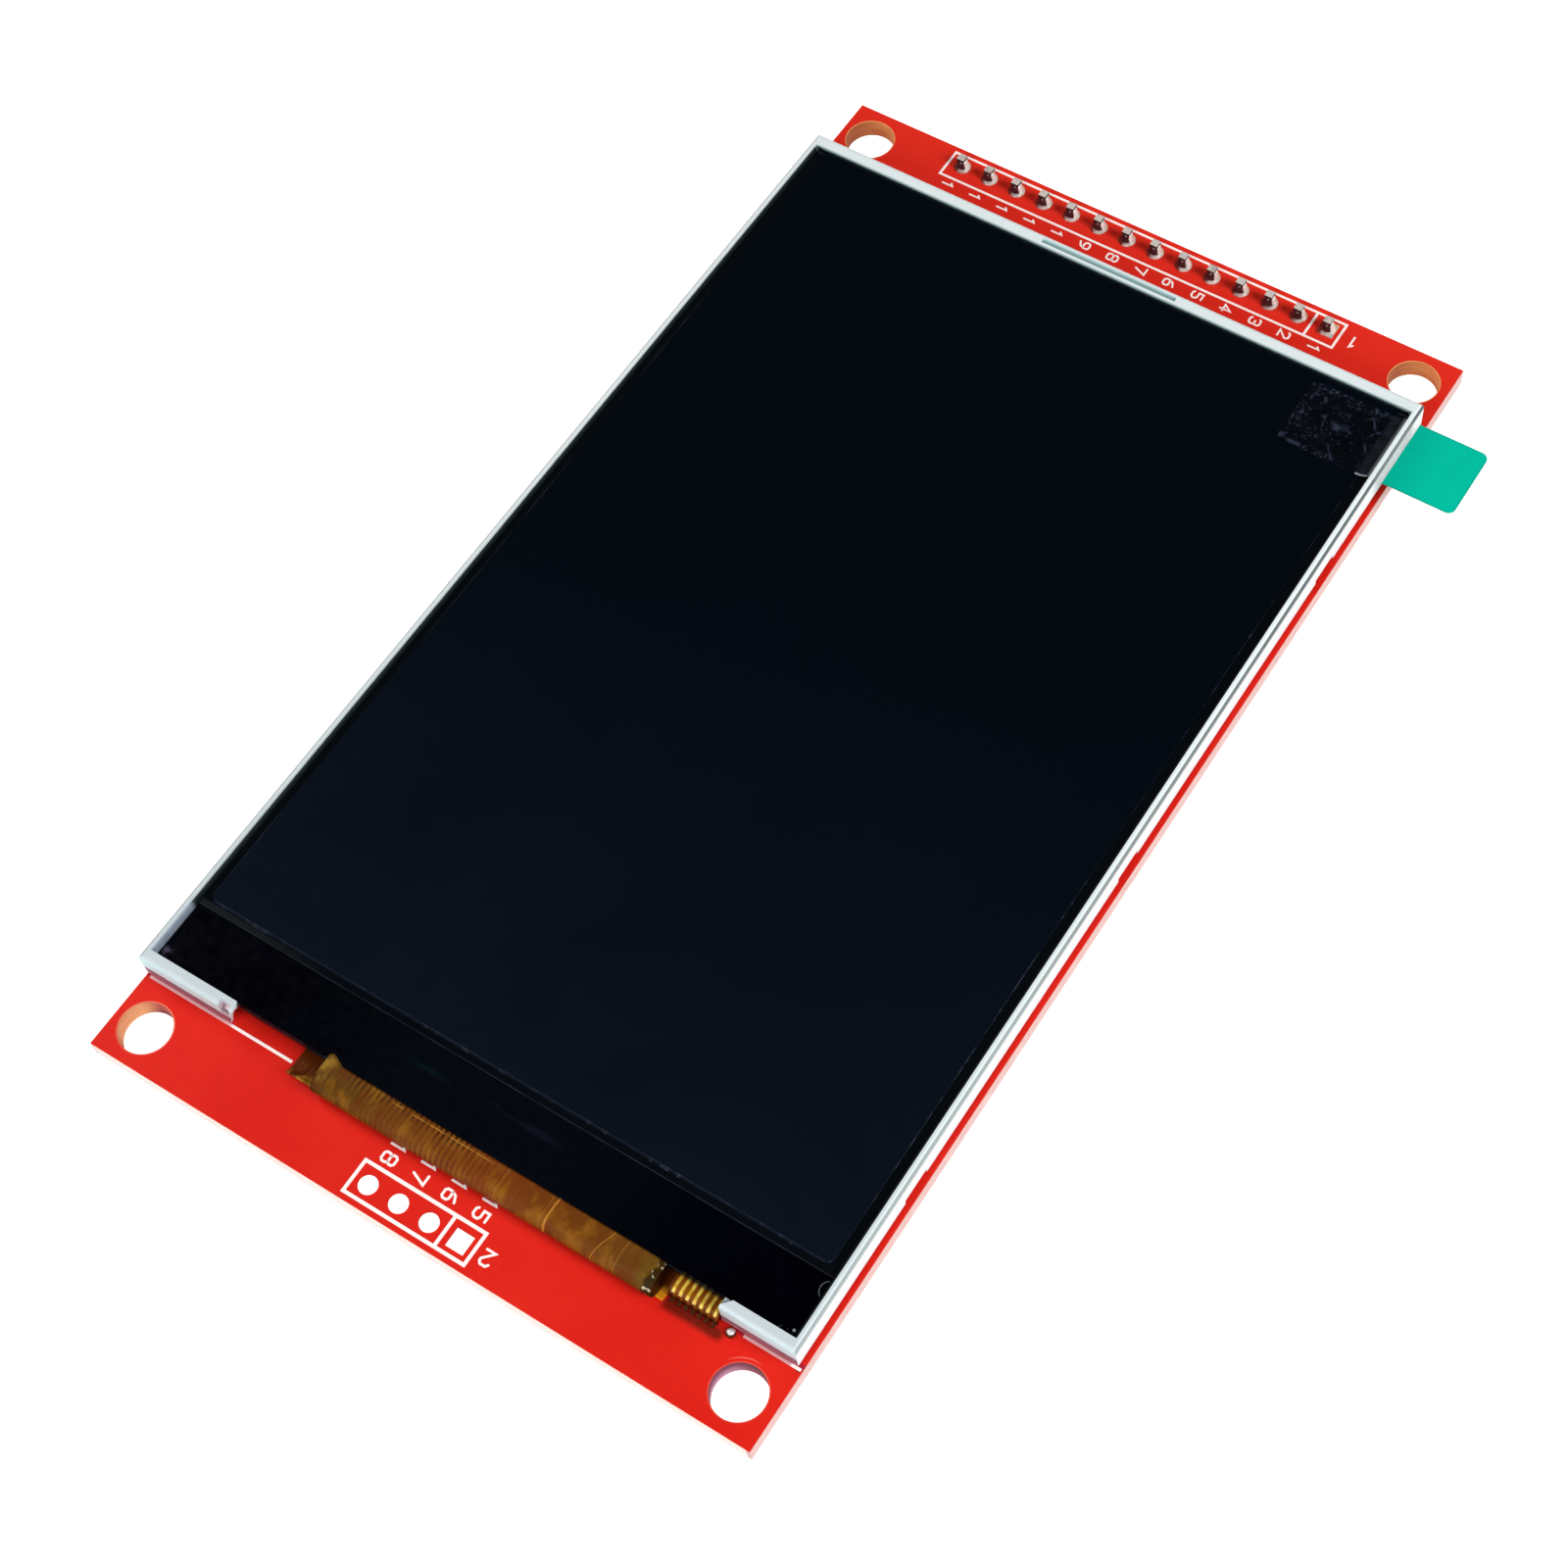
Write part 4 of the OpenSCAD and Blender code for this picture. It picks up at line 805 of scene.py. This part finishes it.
def silk_box(name, x0, x1, y0, y1, w, div=None, z=0.0):
    bm = bmesh.new()
    z1 = z + INK
    h = w / 2
    rect(bm, x0 - h, x1 + h, y1 - h, y1 + h, z, z1)
    rect(bm, x0 - h, x1 + h, y0 - h, y0 + h, z, z1)
    rect(bm, x0 - h, x0 + h, y0 + h, y1 - h, z, z1)
    rect(bm, x1 - h, x1 + h, y0 + h, y1 - h, z, z1)
    if div is not None:
        rect(bm, div - h, div + h, y0 + h, y1 - h, z, z1)
    return new_piece(name, bm, ink)


silk_box("print_header_box", -17.75, 17.63, 45.95, 48.46, 0.2, 15.16)
silk_box("print_card_box", -5.55, 4.47, -48.46, -45.95, 0.26, 2.0)

bm = bmesh.new()
rect(bm, -26.8, -14.25, -43.02, -42.8, 0, INK)
rect(bm, 22.75, 27.15, -43.02, -42.8, 0, INK)
new_piece("print_panel_outline", bm, ink)

# Plain pin numbers, drawn as strokes on a 2 x 3 grid
DIGITS = {
    "0": [[(0.3, 0), (1.7, 0), (2, 0.4), (2, 2.6), (1.7, 3), (0.3, 3), (0, 2.6), (0, 0.4), (0.3, 0.001)]],
    "1": [[(0.4, 2.4), (1.1, 3), (1.1, 0)]],
    "2": [[(0, 2.5), (0.4, 3), (1.6, 3), (2, 2.5), (2, 2.0), (0, 0), (2, 0)]],
    "3": [[(0, 2.6), (0.4, 3), (1.6, 3), (2, 2.6), (2, 1.9), (1.6, 1.55), (0.8, 1.55)], [(1.6, 1.55), (2, 1.2), (2, 0.4), (1.6, 0), (0.4, 0), (0, 0.4)]],
    "4": [[(1.5, 0), (1.5, 3), (0, 0.9), (2, 0.9)]],
    "5": [[(1.9, 3), (0.1, 3), (0.1, 1.7), (1.5, 1.7), (2, 1.3), (2, 0.5), (1.5, 0), (0.4, 0), (0, 0.4)]],
    "6": [[(1.8, 3), (0.5, 2.4), (0, 1.4), (0, 0.4), (0.4, 0), (1.6, 0), (2, 0.4), (2, 1.2), (1.6, 1.6), (0.1, 1.6)]],
    "7": [[(0, 3), (2, 3), (0.8, 0)]],
    "8": [[(0.4, 1.6), (0, 2.0), (0, 2.6), (0.4, 3), (1.6, 3), (2, 2.6), (2, 2.0), (1.6, 1.6), (0.4, 1.6)], [(0.4, 1.6), (0, 1.2), (0, 0.4), (0.4, 0), (1.6, 0), (2, 0.4), (2, 1.2), (1.6, 1.6)]],
    "9": [[(0.2, 0), (1.5, 0.6), (2, 1.6), (2, 2.6), (1.6, 3), (0.4, 3), (0, 2.6), (0, 1.8), (0.4, 1.4), (1.9, 1.4)]],
}


def numeral(bm, text, x, y, h, w, z0, z1, turn=0.0, mirror=False):
    """Digits centred on x, y, h tall, turned about their centre."""
    s = h / 3.0
    adv = 2.9
    total = adv * (len(text) - 1) + 2.0
    c, sn = math.cos(turn), math.sin(turn)
    for i, ch in enumerate(text):
        for line in DIGITS[ch]:
            pts = []
            for u, v in line:
                px_, py_ = (u + i * adv - total / 2) * s, (v - 1.5) * s
                if mirror:
                    px_ = -px_
                pts.append((x + px_ * c - py_ * sn, y + px_ * sn + py_ * c))
            stroke(bm, pts, w, z0, z1)


PITCH = 2.54
HEADER_Y = 47.4
CARD_Y = -47.3


def header_x(i):
    return (6.5 - i) * PITCH


def card_x(i):
    return -0.5 + (1.5 - i) * PITCH


def row_number(bm, n, x, y, h, w, z0, z1, first):
    """A number read along -Y whose first digit is centred at y=first."""
    step = 2.9 * h / 3.0
    text = str(n)
    for k, digit in enumerate(text):
        numeral(bm, digit, x, first - step * k - (0.3 if k and first > 0 else 0.0), h, w, z0, z1, turn=-math.pi / 2)


bm = bmesh.new()
for i in range(14):
    row_number(bm, i + 1, header_x(i) - 0.1, 0, 0.9, 0.15, 0, INK, 45.28)
new_piece("print_header_numbers", bm, ink)
bm = bmesh.new()
for i in range(4):
    row_number(bm, 15 + i, card_x(i) + 0.05, 0, 1.05, 0.18, 0, INK, -44.05)
new_piece("print_card_numbers", bm, ink)
bm = bmesh.new()
numeral(bm, "1", 18.75, 47.2, 0.98, 0.16, 0, INK, turn=math.pi)
numeral(bm, "2", 5.5, -47.3, 1.05, 0.18, 0, INK, turn=math.pi)
new_piece("print_row_numbers", bm, ink)

# ---------------------------------------------------------------- pull tab

TAB_Y0, TAB_Y1 = 34.55, 40.65
FILM_Z, LIP_Z = 2.65, 2.95


def tab_level(x):
    """Underside of the tape: flat on the film, up over the lip, then straight out."""
    t = min(max((x - 25.65) / (26.5 - 25.65), 0.0), 1.0)
    return FILM_Z + (LIP_Z - FILM_Z) * (t * t * (3 - 2 * t))


def tape(name, x0, x1, lift, thick, mat, r0=0.0, r1=0.0, nx=40, ny=24, ragged=0.0, sag=0.0):
    """A strip of tape between x0 and x1 with rounded corners of radius r0 and r1."""
    bm = bmesh.new()
    rnd = random.Random(11)
    jag0 = [rnd.uniform(-1, 1) * ragged for _ in range(ny + 1)]
    top, low = [], []
    xs = [x0 + (x1 - x0) * (i / nx) for i in range(nx + 1)]
    if r0:
        xs = sorted(set(xs + [x0 + r0 * (1 - math.cos(math.pi / 2 * k / 6)) for k in range(7)]))
    if r1:
        xs = sorted(set(xs + [x1 - r1 * (1 - math.cos(math.pi / 2 * k / 6)) for k in range(7)]))
    for i, x in enumerate(xs):
        inset = 0.0
        if r0 and x < x0 + r0:
            inset = r0 - math.sqrt(max(0.0, r0 * r0 - (x0 + r0 - x) ** 2))
        if r1 and x > x1 - r1:
            inset = r1 - math.sqrt(max(0.0, r1 * r1 - (x - x1 + r1) ** 2))
        a, b = TAB_Y0 + inset, TAB_Y1 - inset
        rt, rl = [], []
        for j in range(ny + 1):
            v = j / ny
            y = a + (b - a) * v
            xx = x + (jag0[j] * max(0.0, 1 - (x - x0) / 0.8) if ragged else 0.0)
            base = tab_level(xx) + lift
            f = (xx - 27.0) / 6.4 if xx > 27.0 else 0.0
            base += sag * (math.sin(f * math.pi) * 0.5 + 0.5 * f * math.sin(v * math.pi))
            rl.append(bm.verts.new((xx * MM, y * MM, base * MM)))
            rt.append(bm.verts.new((xx * MM, y * MM, (base + thick) * MM)))
        low.append(rl)
        top.append(rt)
    n = len(xs)
    for i in range(n - 1):
        for j in range(ny):
            bm.faces.new((top[i][j], top[i + 1][j], top[i + 1][j + 1], top[i][j + 1]))
            bm.faces.new((low[i][j], low[i][j + 1], low[i + 1][j + 1], low[i + 1][j]))
    for i in range(n - 1):
        for j, flip in ((0, False), (ny, True)):
            q = (low[i][j], low[i + 1][j], top[i + 1][j], top[i][j])
            bm.faces.new(q if not flip else tuple(reversed(q)))
    for j in range(ny):
        for i, flip in ((0, True), (n - 1, False)):
            q = (low[i][j], low[i][j + 1], top[i][j + 1], top[i][j])
            bm.faces.new(q if not flip else tuple(reversed(q)))
    o = new_piece(name, bm, mat)
    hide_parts("pull_tab")
    return o


# adhesive seen through the clear part: nearly black, full of small pale bubbles
adh = Mat("tab_adhesive", rough=0.2, spec=0.2)
tx, ty, tz = adh.xyz()
crowd = adh.noise(520, 3)
near_rim = adh.math("MAXIMUM", adh.span(tx, 18.9 * MM, 20.4 * MM, 1.0, 0.0), adh.math("MAXIMUM", adh.span(ty, 39.6 * MM, 40.5 * MM), adh.span(ty, 34.7 * MM, 35.5 * MM, 1.0, 0.0)))
crowd = adh.math("ADD", adh.span(crowd, 0.38, 0.7), adh.math("MULTIPLY", near_rim, 0.45))
bub = adh.noise(3600, 4, rough=0.7)
cell = adh.voronoi(2600)
speck = adh.span(adh.math("ADD", bub, adh.math("MULTIPLY", crowd, 0.1)), 0.64, 0.76)
dots = adh.math("MULTIPLY", adh.span(cell, 0.16, 0.28, 1.0, 0.0), adh.span(crowd, 0.35, 1.0, 0.0, 0.5))
curl = adh.voronoi(620, "DISTANCE_TO_EDGE", vec=adh.mapped(scale=(1, 0.7, 1)))
curls = adh.math("MULTIPLY", adh.span(curl, 0.02, 0.06, 1.0, 0.0), adh.span(adh.noise(700, 2), 0.54, 0.64, 0.0, 0.5))
pale = adh.math("MAXIMUM", adh.math("MULTIPLY", speck, 0.7), adh.math("MAXIMUM", dots, curls))
adh.colour(adh.mix(pale, adh.mix(crowd, lin(0, 2, 7), lin(3, 6, 14)), lin(58, 67, 88)))
adh.rough(adh.span(bub, 0.3, 0.7, 0.14, 0.4))
adh.bump(bub, 0.6, 0.00003)
tape("pull_tab_adhesive", 18.8, 25.35, 0.004, 0.02, adh, r0=0.5, nx=60, ny=40, ragged=0.06)

# smoother strip of tape that stands off the film before the lip
hinge = Mat("tab_hinge", rough=0.3, spec=0.3)
hn = hinge.noise(1100, 4)
hx, hy, hz = hinge.xyz()
tone = hinge.mix(hinge.span(hn, 0.35, 0.65), lin(8, 10, 18), lin(22, 24, 38))
tone = hinge.mix(hinge.math("MULTIPLY", hinge.span(hx, 25.55 * MM, 25.35 * MM), 0.5), tone, lin(4, 5, 10))
tone = hinge.mix(hinge.span(hy, 34.72 * MM, 34.62 * MM), tone, lin(150, 158, 164))
hinge.colour(tone)
hinge.bump(hn, 0.4, 0.00003)
hinge.rough(hinge.span(hn, 0.3, 0.7, 0.22, 0.42))
tape("pull_tab_hinge", 25.35, 26.28, 0.004, 0.05, hinge, nx=10)

# bare clear tape over the lip
clear = Mat("tab_clear", rough=0.12, spec=0.35)
cln = clear.noise(900, 3)
clear.colour(clear.mix(cln, lin(214, 226, 226), lin(238, 244, 244)))
clear.b.inputs["Alpha"].default_value = 0.06
clear.rough(clear.span(cln, 0.3, 0.7, 0.1, 0.2))
clear.bump(cln, 0.2, 0.00001)
tape("pull_tab_clear", 26.28, 27.7, 0.004, 0.05, clear, nx=12)

# green handle
green = Mat("tab_green", rough=0.42, spec=0.1)
gx_, gy_, gz_ = green.xyz()
gnn = green.noise(210, 3)
gff = green.noise(3800, 2)
tone = green.mix(green.span(gx_, 27.6 * MM, 30.6 * MM), lin(0, 176, 150), lin(0, 194, 164))
tone = green.mix(green.span(gnn, 0.35, 0.7, 0.0, 0.3), tone, lin(0, 180, 150))
tone = green.mix(green.span(gff, 0.55, 0.75, 0.0, 0.2), tone, lin(20, 196, 170))
rim_t = green.math("MAXIMUM", green.span(gy_, 34.7 * MM, 34.56 * MM), green.math("MAXIMUM", green.span(gy_, 40.5 * MM, 40.64 * MM), green.span(gx_, 33.1 * MM, 33.24 * MM)))
tone = green.mix(green.math("MULTIPLY", rim_t, 0.6), tone, lin(0, 150, 126))
green.colour(tone)
green.rough(green.span(gff, 0.3, 0.7, 0.36, 0.5))
green.bump(green.math("ADD", green.math("MULTIPLY", gff, 0.4), gnn), 0.15, 0.00003)
tape("pull_tab_handle", 27.55, 33.25, 0.0, 0.07, green, r1=0.6, nx=36, ny=28, sag=0.025)

# ---------------------------------------------------------------- back of the board

BACK = -1.6


def box_shell(bm, x0, x1, y0, y1, z0, z1, b=0.05):
    """A small block with bevelled edges."""
    part = bmesh.new()
    rect(part, x0, x1, y0, y1, z0, z1)
    bmesh.ops.bevel(part, geom=part.edges[:], offset=b * MM, segments=2, affect="EDGES", profile=0.5)
    me_ = bpy.data.meshes.new("tmp")
    part.to_mesh(me_)
    part.free()
    bm.from_mesh(me_)
    bpy.data.meshes.remove(me_)


RES = [(-8.5, 40, 1), (-6.5, 40, 1), (-4.5, 40, 1), (-2.5, 40, 1), (-8, -42, 0), (-5, -42, 0), (-2, -42, 0), (1, -42, 0)]
CAP = [(8.8, 40, 1), (17, 40, 1), (1.5, 40, 1), (4.6, -41.2, 1)]


def chip_ends(name, places, h):
    bm = bmesh.new()
    for x, y, turned in places:
        for s_ in (-1, 1):
            lo, hi = sorted((s_ * 0.5, s_ * 0.825))
            a_ = (x + lo, x + hi, y - 0.425, y + 0.425)
            if turned:
                a_ = (x - 0.425, x + 0.425, y + lo, y + hi)
            box_shell(bm, a_[0], a_[1], a_[2], a_[3], BACK - h - 0.02, BACK - 0.01, 0.06)
            # fillet of solder from the end of the chip out over its pad
            out = s_ * 1.12
            p = [(s_ * 0.8, BACK), (out, BACK), (s_ * 0.95, BACK - h * 0.35), (s_ * 0.82, BACK - h * 0.75), (s_ * 0.8, BACK - h * 0.75)]
            ring = []
            for w_ in (-0.38, 0.38):
                row = []
                for u, z in p:
                    q = (x + w_, y + u) if turned else (x + u, y + w_)
                    row.append(bm.verts.new((q[0] * MM, q[1] * MM, z * MM)))
                ring.append(row)
            m_ = len(p)
            bm.faces.new(ring[0])
            bm.faces.new(list(reversed(ring[1])))
            for k in range(m_):
                l = (k + 1) % m_
                bm.faces.new((ring[0][k], ring[1][k], ring[1][l], ring[0][l]))
    return new_piece(name, bm, solder)


chip_ends("resistor_ends", RES, 0.45)
chip_ends("capacitor_ends", CAP, 0.8)

# bare tinned pads on the back: chips, packages, socket feet and its tails
bm = bmesh.new()


def disc(bm, x, y, r, z0, z1, n=28, hole=0.0):
    outer = [(x + r * math.cos(2 * math.pi * k / n), y + r * math.sin(2 * math.pi * k / n)) for k in range(n)]
    if not hole:
        prism(bm, outer, z0, z1)
        return
    inner = [(x + hole * math.cos(2 * math.pi * k / n), y + hole * math.sin(2 * math.pi * k / n)) for k in range(n)]
    rings = []
    for pts, z in ((outer, z0), (outer, z1), (inner, z1), (inner, z0)):
        rings.append([bm.verts.new((a * MM, b * MM, z * MM)) for a, b in pts])
    for k in range(n):
        l = (k + 1) % n
        for q in range(4):
            r_ = (q + 1) % 4
            bm.faces.new((rings[q][k], rings[q][l], rings[r_][l], rings[r_][k]))


for x, y, turned in RES + CAP:
    for s_ in (-1, 1):
        lo, hi = sorted((s_ * 0.52, s_ * 1.25))
        if turned:
            rect(bm, x - 0.5, x + 0.5, y + lo, y + hi, BACK - 0.012, BACK)
        else:
            rect(bm, x + lo, x + hi, y - 0.5, y + 0.5, BACK - 0.012, BACK)
for i in range(3):
    rect(bm, 13 + (i - 1) * 0.95 - 0.3, 13 + (i - 1) * 0.95 + 0.3, 40.85, 41.75, BACK - 0.012, BACK)
for i in range(2):
    rect(bm, 13 + (i - 0.5) * 0.95 - 0.3, 13 + (i - 0.5) * 0.95 + 0.3, 38.25, 39.15, BACK - 0.012, BACK)
    rect(bm, -12.5 + (i - 0.5) * 1.9 - 0.32, -12.5 + (i - 0.5) * 1.9 + 0.32, 40.7, 41.6, BACK - 0.012, BACK)
rect(bm, -12.82, -12.18, 38.4, 39.3, BACK - 0.012, BACK)
for x in (-25.2, -3.0):
    for y in (-37.2, -6.8):
        rect(bm, x - 0.3, x + 2.3, y - 1.0, y + 1.0, BACK - 0.012, BACK)
for i in range(9):
    y = -22 + (i - 4) * 2.5
    rect(bm, 1.2, 2.8, y - 0.55, y + 0.55, BACK - 0.012, BACK)
new_piece("back_pads", bm, tin)

# copper tracks and vias under the mask
mask_hi = Mat("mask_over_copper", rough=0.38, spec=0.12)
mn = mask_hi.noise(2400, 2)
mask_hi.colour(mask_hi.mix(mask_hi.span(mn, 0.35, 0.65), lin(198, 22, 14), lin(216, 34, 22)))
mask_hi.rough(mask_hi.span(mn, 0.3, 0.7, 0.32, 0.46))
mask_hi.bump(mn, 0.12, 0.00001)

T0, T1 = BACK - 0.02, BACK
bm = bmesh.new()
vias = []
routes = []
for i in range(5):
    # socket tails fan out towards the middle of the board
    y = -22 + (i - 4) * 2.5
    x1 = 8.0 + i * 0.9
    routes.append(([(2.8, y), (x1, y), (x1 + 1.2, y + 1.2), (x1 + 1.2, 24 + i * 1.1)], 0.2))
    vias.append((x1 + 1.2, 24 + i * 1.1))
for i in range(4):
    y = -22 + (i + 1) * 2.5
    x1 = 4.2 + i * 0.8
    routes.append(([(2.8, y), (x1, y), (x1 + 0.6, y + 0.6), (x1 + 0.6, 8 + i)], 0.2))
    vias.append((x1 + 0.6, 8 + i))
for i, x in enumerate((-8.5, -6.5, -4.5, -2.5)):
    routes.append(([(x, 41.2), (x, 43.6), (header_x(10 - i) , 45.4), (header_x(10 - i), 46.6)], 0.22))
    routes.append(([(x, 38.8), (x, 34.0 - i * 0.9)], 0.2))
    vias.append((x, 34.0 - i * 0.9))
for x, xt in ((13.95, header_x(0)), (12.05, header_x(1))):
    routes.append(([(x, 41.7), (x, 43.2), (xt, 44.9), (xt, 46.6)], 0.45))
routes.append(([(17, 41.2), (17, 43.0), (header_x(0), 43.8)], 0.35))
routes.append(([(12.5, 38.4), (12.5, 36.6), (9.4, 36.6), (8.8, 37.2), (8.8, 38.8)], 0.4))
routes.append(([(-13.45, 41.5), (-13.45, 43.4), (header_x(12), 45.2), (header_x(12), 46.6)], 0.3))
routes.append(([(-12.5, 38.4), (-12.5, 30.0), (-15.5, 27.0), (-15.5, 6.0)], 0.35))
vias.append((-15.5, 6.0))
for i in range(4):
    xs_ = (-8, -5, -2, 1)[i]
    routes.append(([(xs_ + 1.2, -42.0), (xs_ + 1.55, -42.0), (card_x(3 - i), -43.6 - 0.15 * i), (card_x(3 - i), -46.5)], 0.22))
    routes.append(([(xs_ - 1.2, -42.0), (xs_ - 1.45, -42.3), (xs_ - 1.45, -44.2)], 0.2))
    vias.append((xs_ - 1.45, -44.2))
for pts, w in routes:
    stroke(bm, pts, w, T0, T1)
new_piece("back_tracks", bm, mask_hi)

bm = bmesh.new()
for k in range(26):
    vias.append((-22 + (k * 7.3) % 44, 12 + (k * 5.7) % 22))
seen = []
for x, y in vias:
    if all((x - a) ** 2 + (y - b) ** 2 > 1.4 for a, b in seen):
        seen.append((x, y))
for x, y in seen:
    disc(bm, x, y, 0.36, BACK - 0.026, BACK, n=18, hole=0.14)
new_piece("back_vias", bm, mask_hi)

# outlines and plain numbers printed on the back
bm = bmesh.new()


def frame_line(bm, x0, x1, y0, y1, w=0.15):
    h = w / 2
    za, zb = BACK - INK, BACK
    rect(bm, x0 - h, x1 + h, y1 - h, y1 + h, za, zb)
    rect(bm, x0 - h, x1 + h, y0 - h, y0 + h, za, zb)
    rect(bm, x0 - h, x0 + h, y0 + h, y1 - h, za, zb)
    rect(bm, x1 - h, x1 + h, y0 + h, y1 - h, za, zb)


frame_line(bm, -5.6, 4.6, -48.6, -46.0, 0.2)
for x, y, turned in RES + CAP:
    if turned:
        frame_line(bm, x - 0.75, x + 0.75, y - 1.5, y + 1.5)
    else:
        frame_line(bm, x - 1.5, x + 1.5, y - 0.75, y + 0.75)
frame_line(bm, 11.3, 14.7, 38.0, 42.0)
frame_line(bm, -14.2, -10.8, 38.1, 41.9)
frame_line(bm, -26.9, 3.2, -38.4, -5.6, 0.2)
for i in range(14):
    numeral(bm, str(i + 1), header_x(i), 44.6 if i % 2 == 0 else 43.2, 0.95, 0.14, BACK - INK, BACK, mirror=True)
for i in range(4):
    numeral(bm, str(15 + i), card_x(i), -45.0, 0.95, 0.14, BACK - INK, BACK, mirror=True)
new_piece("back_print", bm, ink)

# ---------------------------------------------------------------- camera

cam_data = bpy.data.cameras.new("camera")
cam = bpy.data.objects.new("camera", cam_data)
scene.collection.objects.link(cam)
right = Vector((0.843478, 0.534620, -0.052213))
up = Vector((-0.443093, 0.747419, 0.495007))
back = Vector((0.303666, -0.394394, 0.867318))
cam.matrix_world = Matrix(
    (
        (right.x, up.x, back.x, 0.070690),
        (right.y, up.y, back.y, -0.083725),
        (right.z, up.z, back.z, 0.175996),
        (0, 0, 0, 1),
    )
)
cam_data.sensor_width = 36.0
cam_data.lens = 2926.7298 / 1600 * 36.0
cam_data.shift_x = -(909.32 - 800.0) / 1600
cam_data.shift_y = (798.27 - 800.0) / 1600
cam_data.clip_start = 0.005
cam_data.clip_end = 20
scene.camera = cam

# ---------------------------------------------------------------- studio

floor_z = cad_lo.z - 0.00005
fm = Mat("studio_floor", rough=0.9, spec=0.0)
fn = fm.noise(3, 2)
fm.colour(fm.mix(fm.span(fn, 0.3, 0.7), (0.93, 0.93, 0.93, 1), (0.96, 0.96, 0.96, 1)))
fm.b.inputs["Emission Color"].default_value = (1, 1, 1, 1)
fm.b.inputs["Emission Strength"].default_value = 0.55
bm = bmesh.new()
bmesh.ops.create_grid(bm, x_segments=8, y_segments=8, size=4.0)
for v in bm.verts:
    v.co.z = floor_z
me = bpy.data.meshes.new("floor")
bm.to_mesh(me)
bm.free()
floor = bpy.data.objects.new("floor", me)
scene.collection.objects.link(floor)
floor.data.materials.append(fm.m)

world = bpy.data.worlds.new("studio")
scene.world = world
world.use_nodes = True
world.node_tree.nodes["Background"].inputs[0].default_value = (0.93, 0.97, 1.0, 1)
world.node_tree.nodes["Background"].inputs[1].default_value = 0.09


def area(name, where, size, power, colour=(1, 1, 1)):
    d = bpy.data.lights.new(name, "AREA")
    d.shape = "DISK"
    d.size = size
    d.energy = power
    d.color = colour
    o = bpy.data.objects.new(name, d)
    scene.collection.objects.link(o)
    o.location = where
    o.rotation_mode = "QUATERNION"
    o.rotation_quaternion = Vector(where).to_track_quat("Z", "Y")
    return o


area("key", (0.50, -0.03, 0.36), 0.30, 3.15)
area("front", (0.02, -0.64, 0.42), 0.42, 2.65)
area("fill", (-0.46, 0.02, 0.38), 0.32, 1.15)

scene.view_settings.view_transform = "Standard"
scene.view_settings.look = "None"
scene.view_settings.exposure = 0.0
scene.view_settings.gamma = 1.0
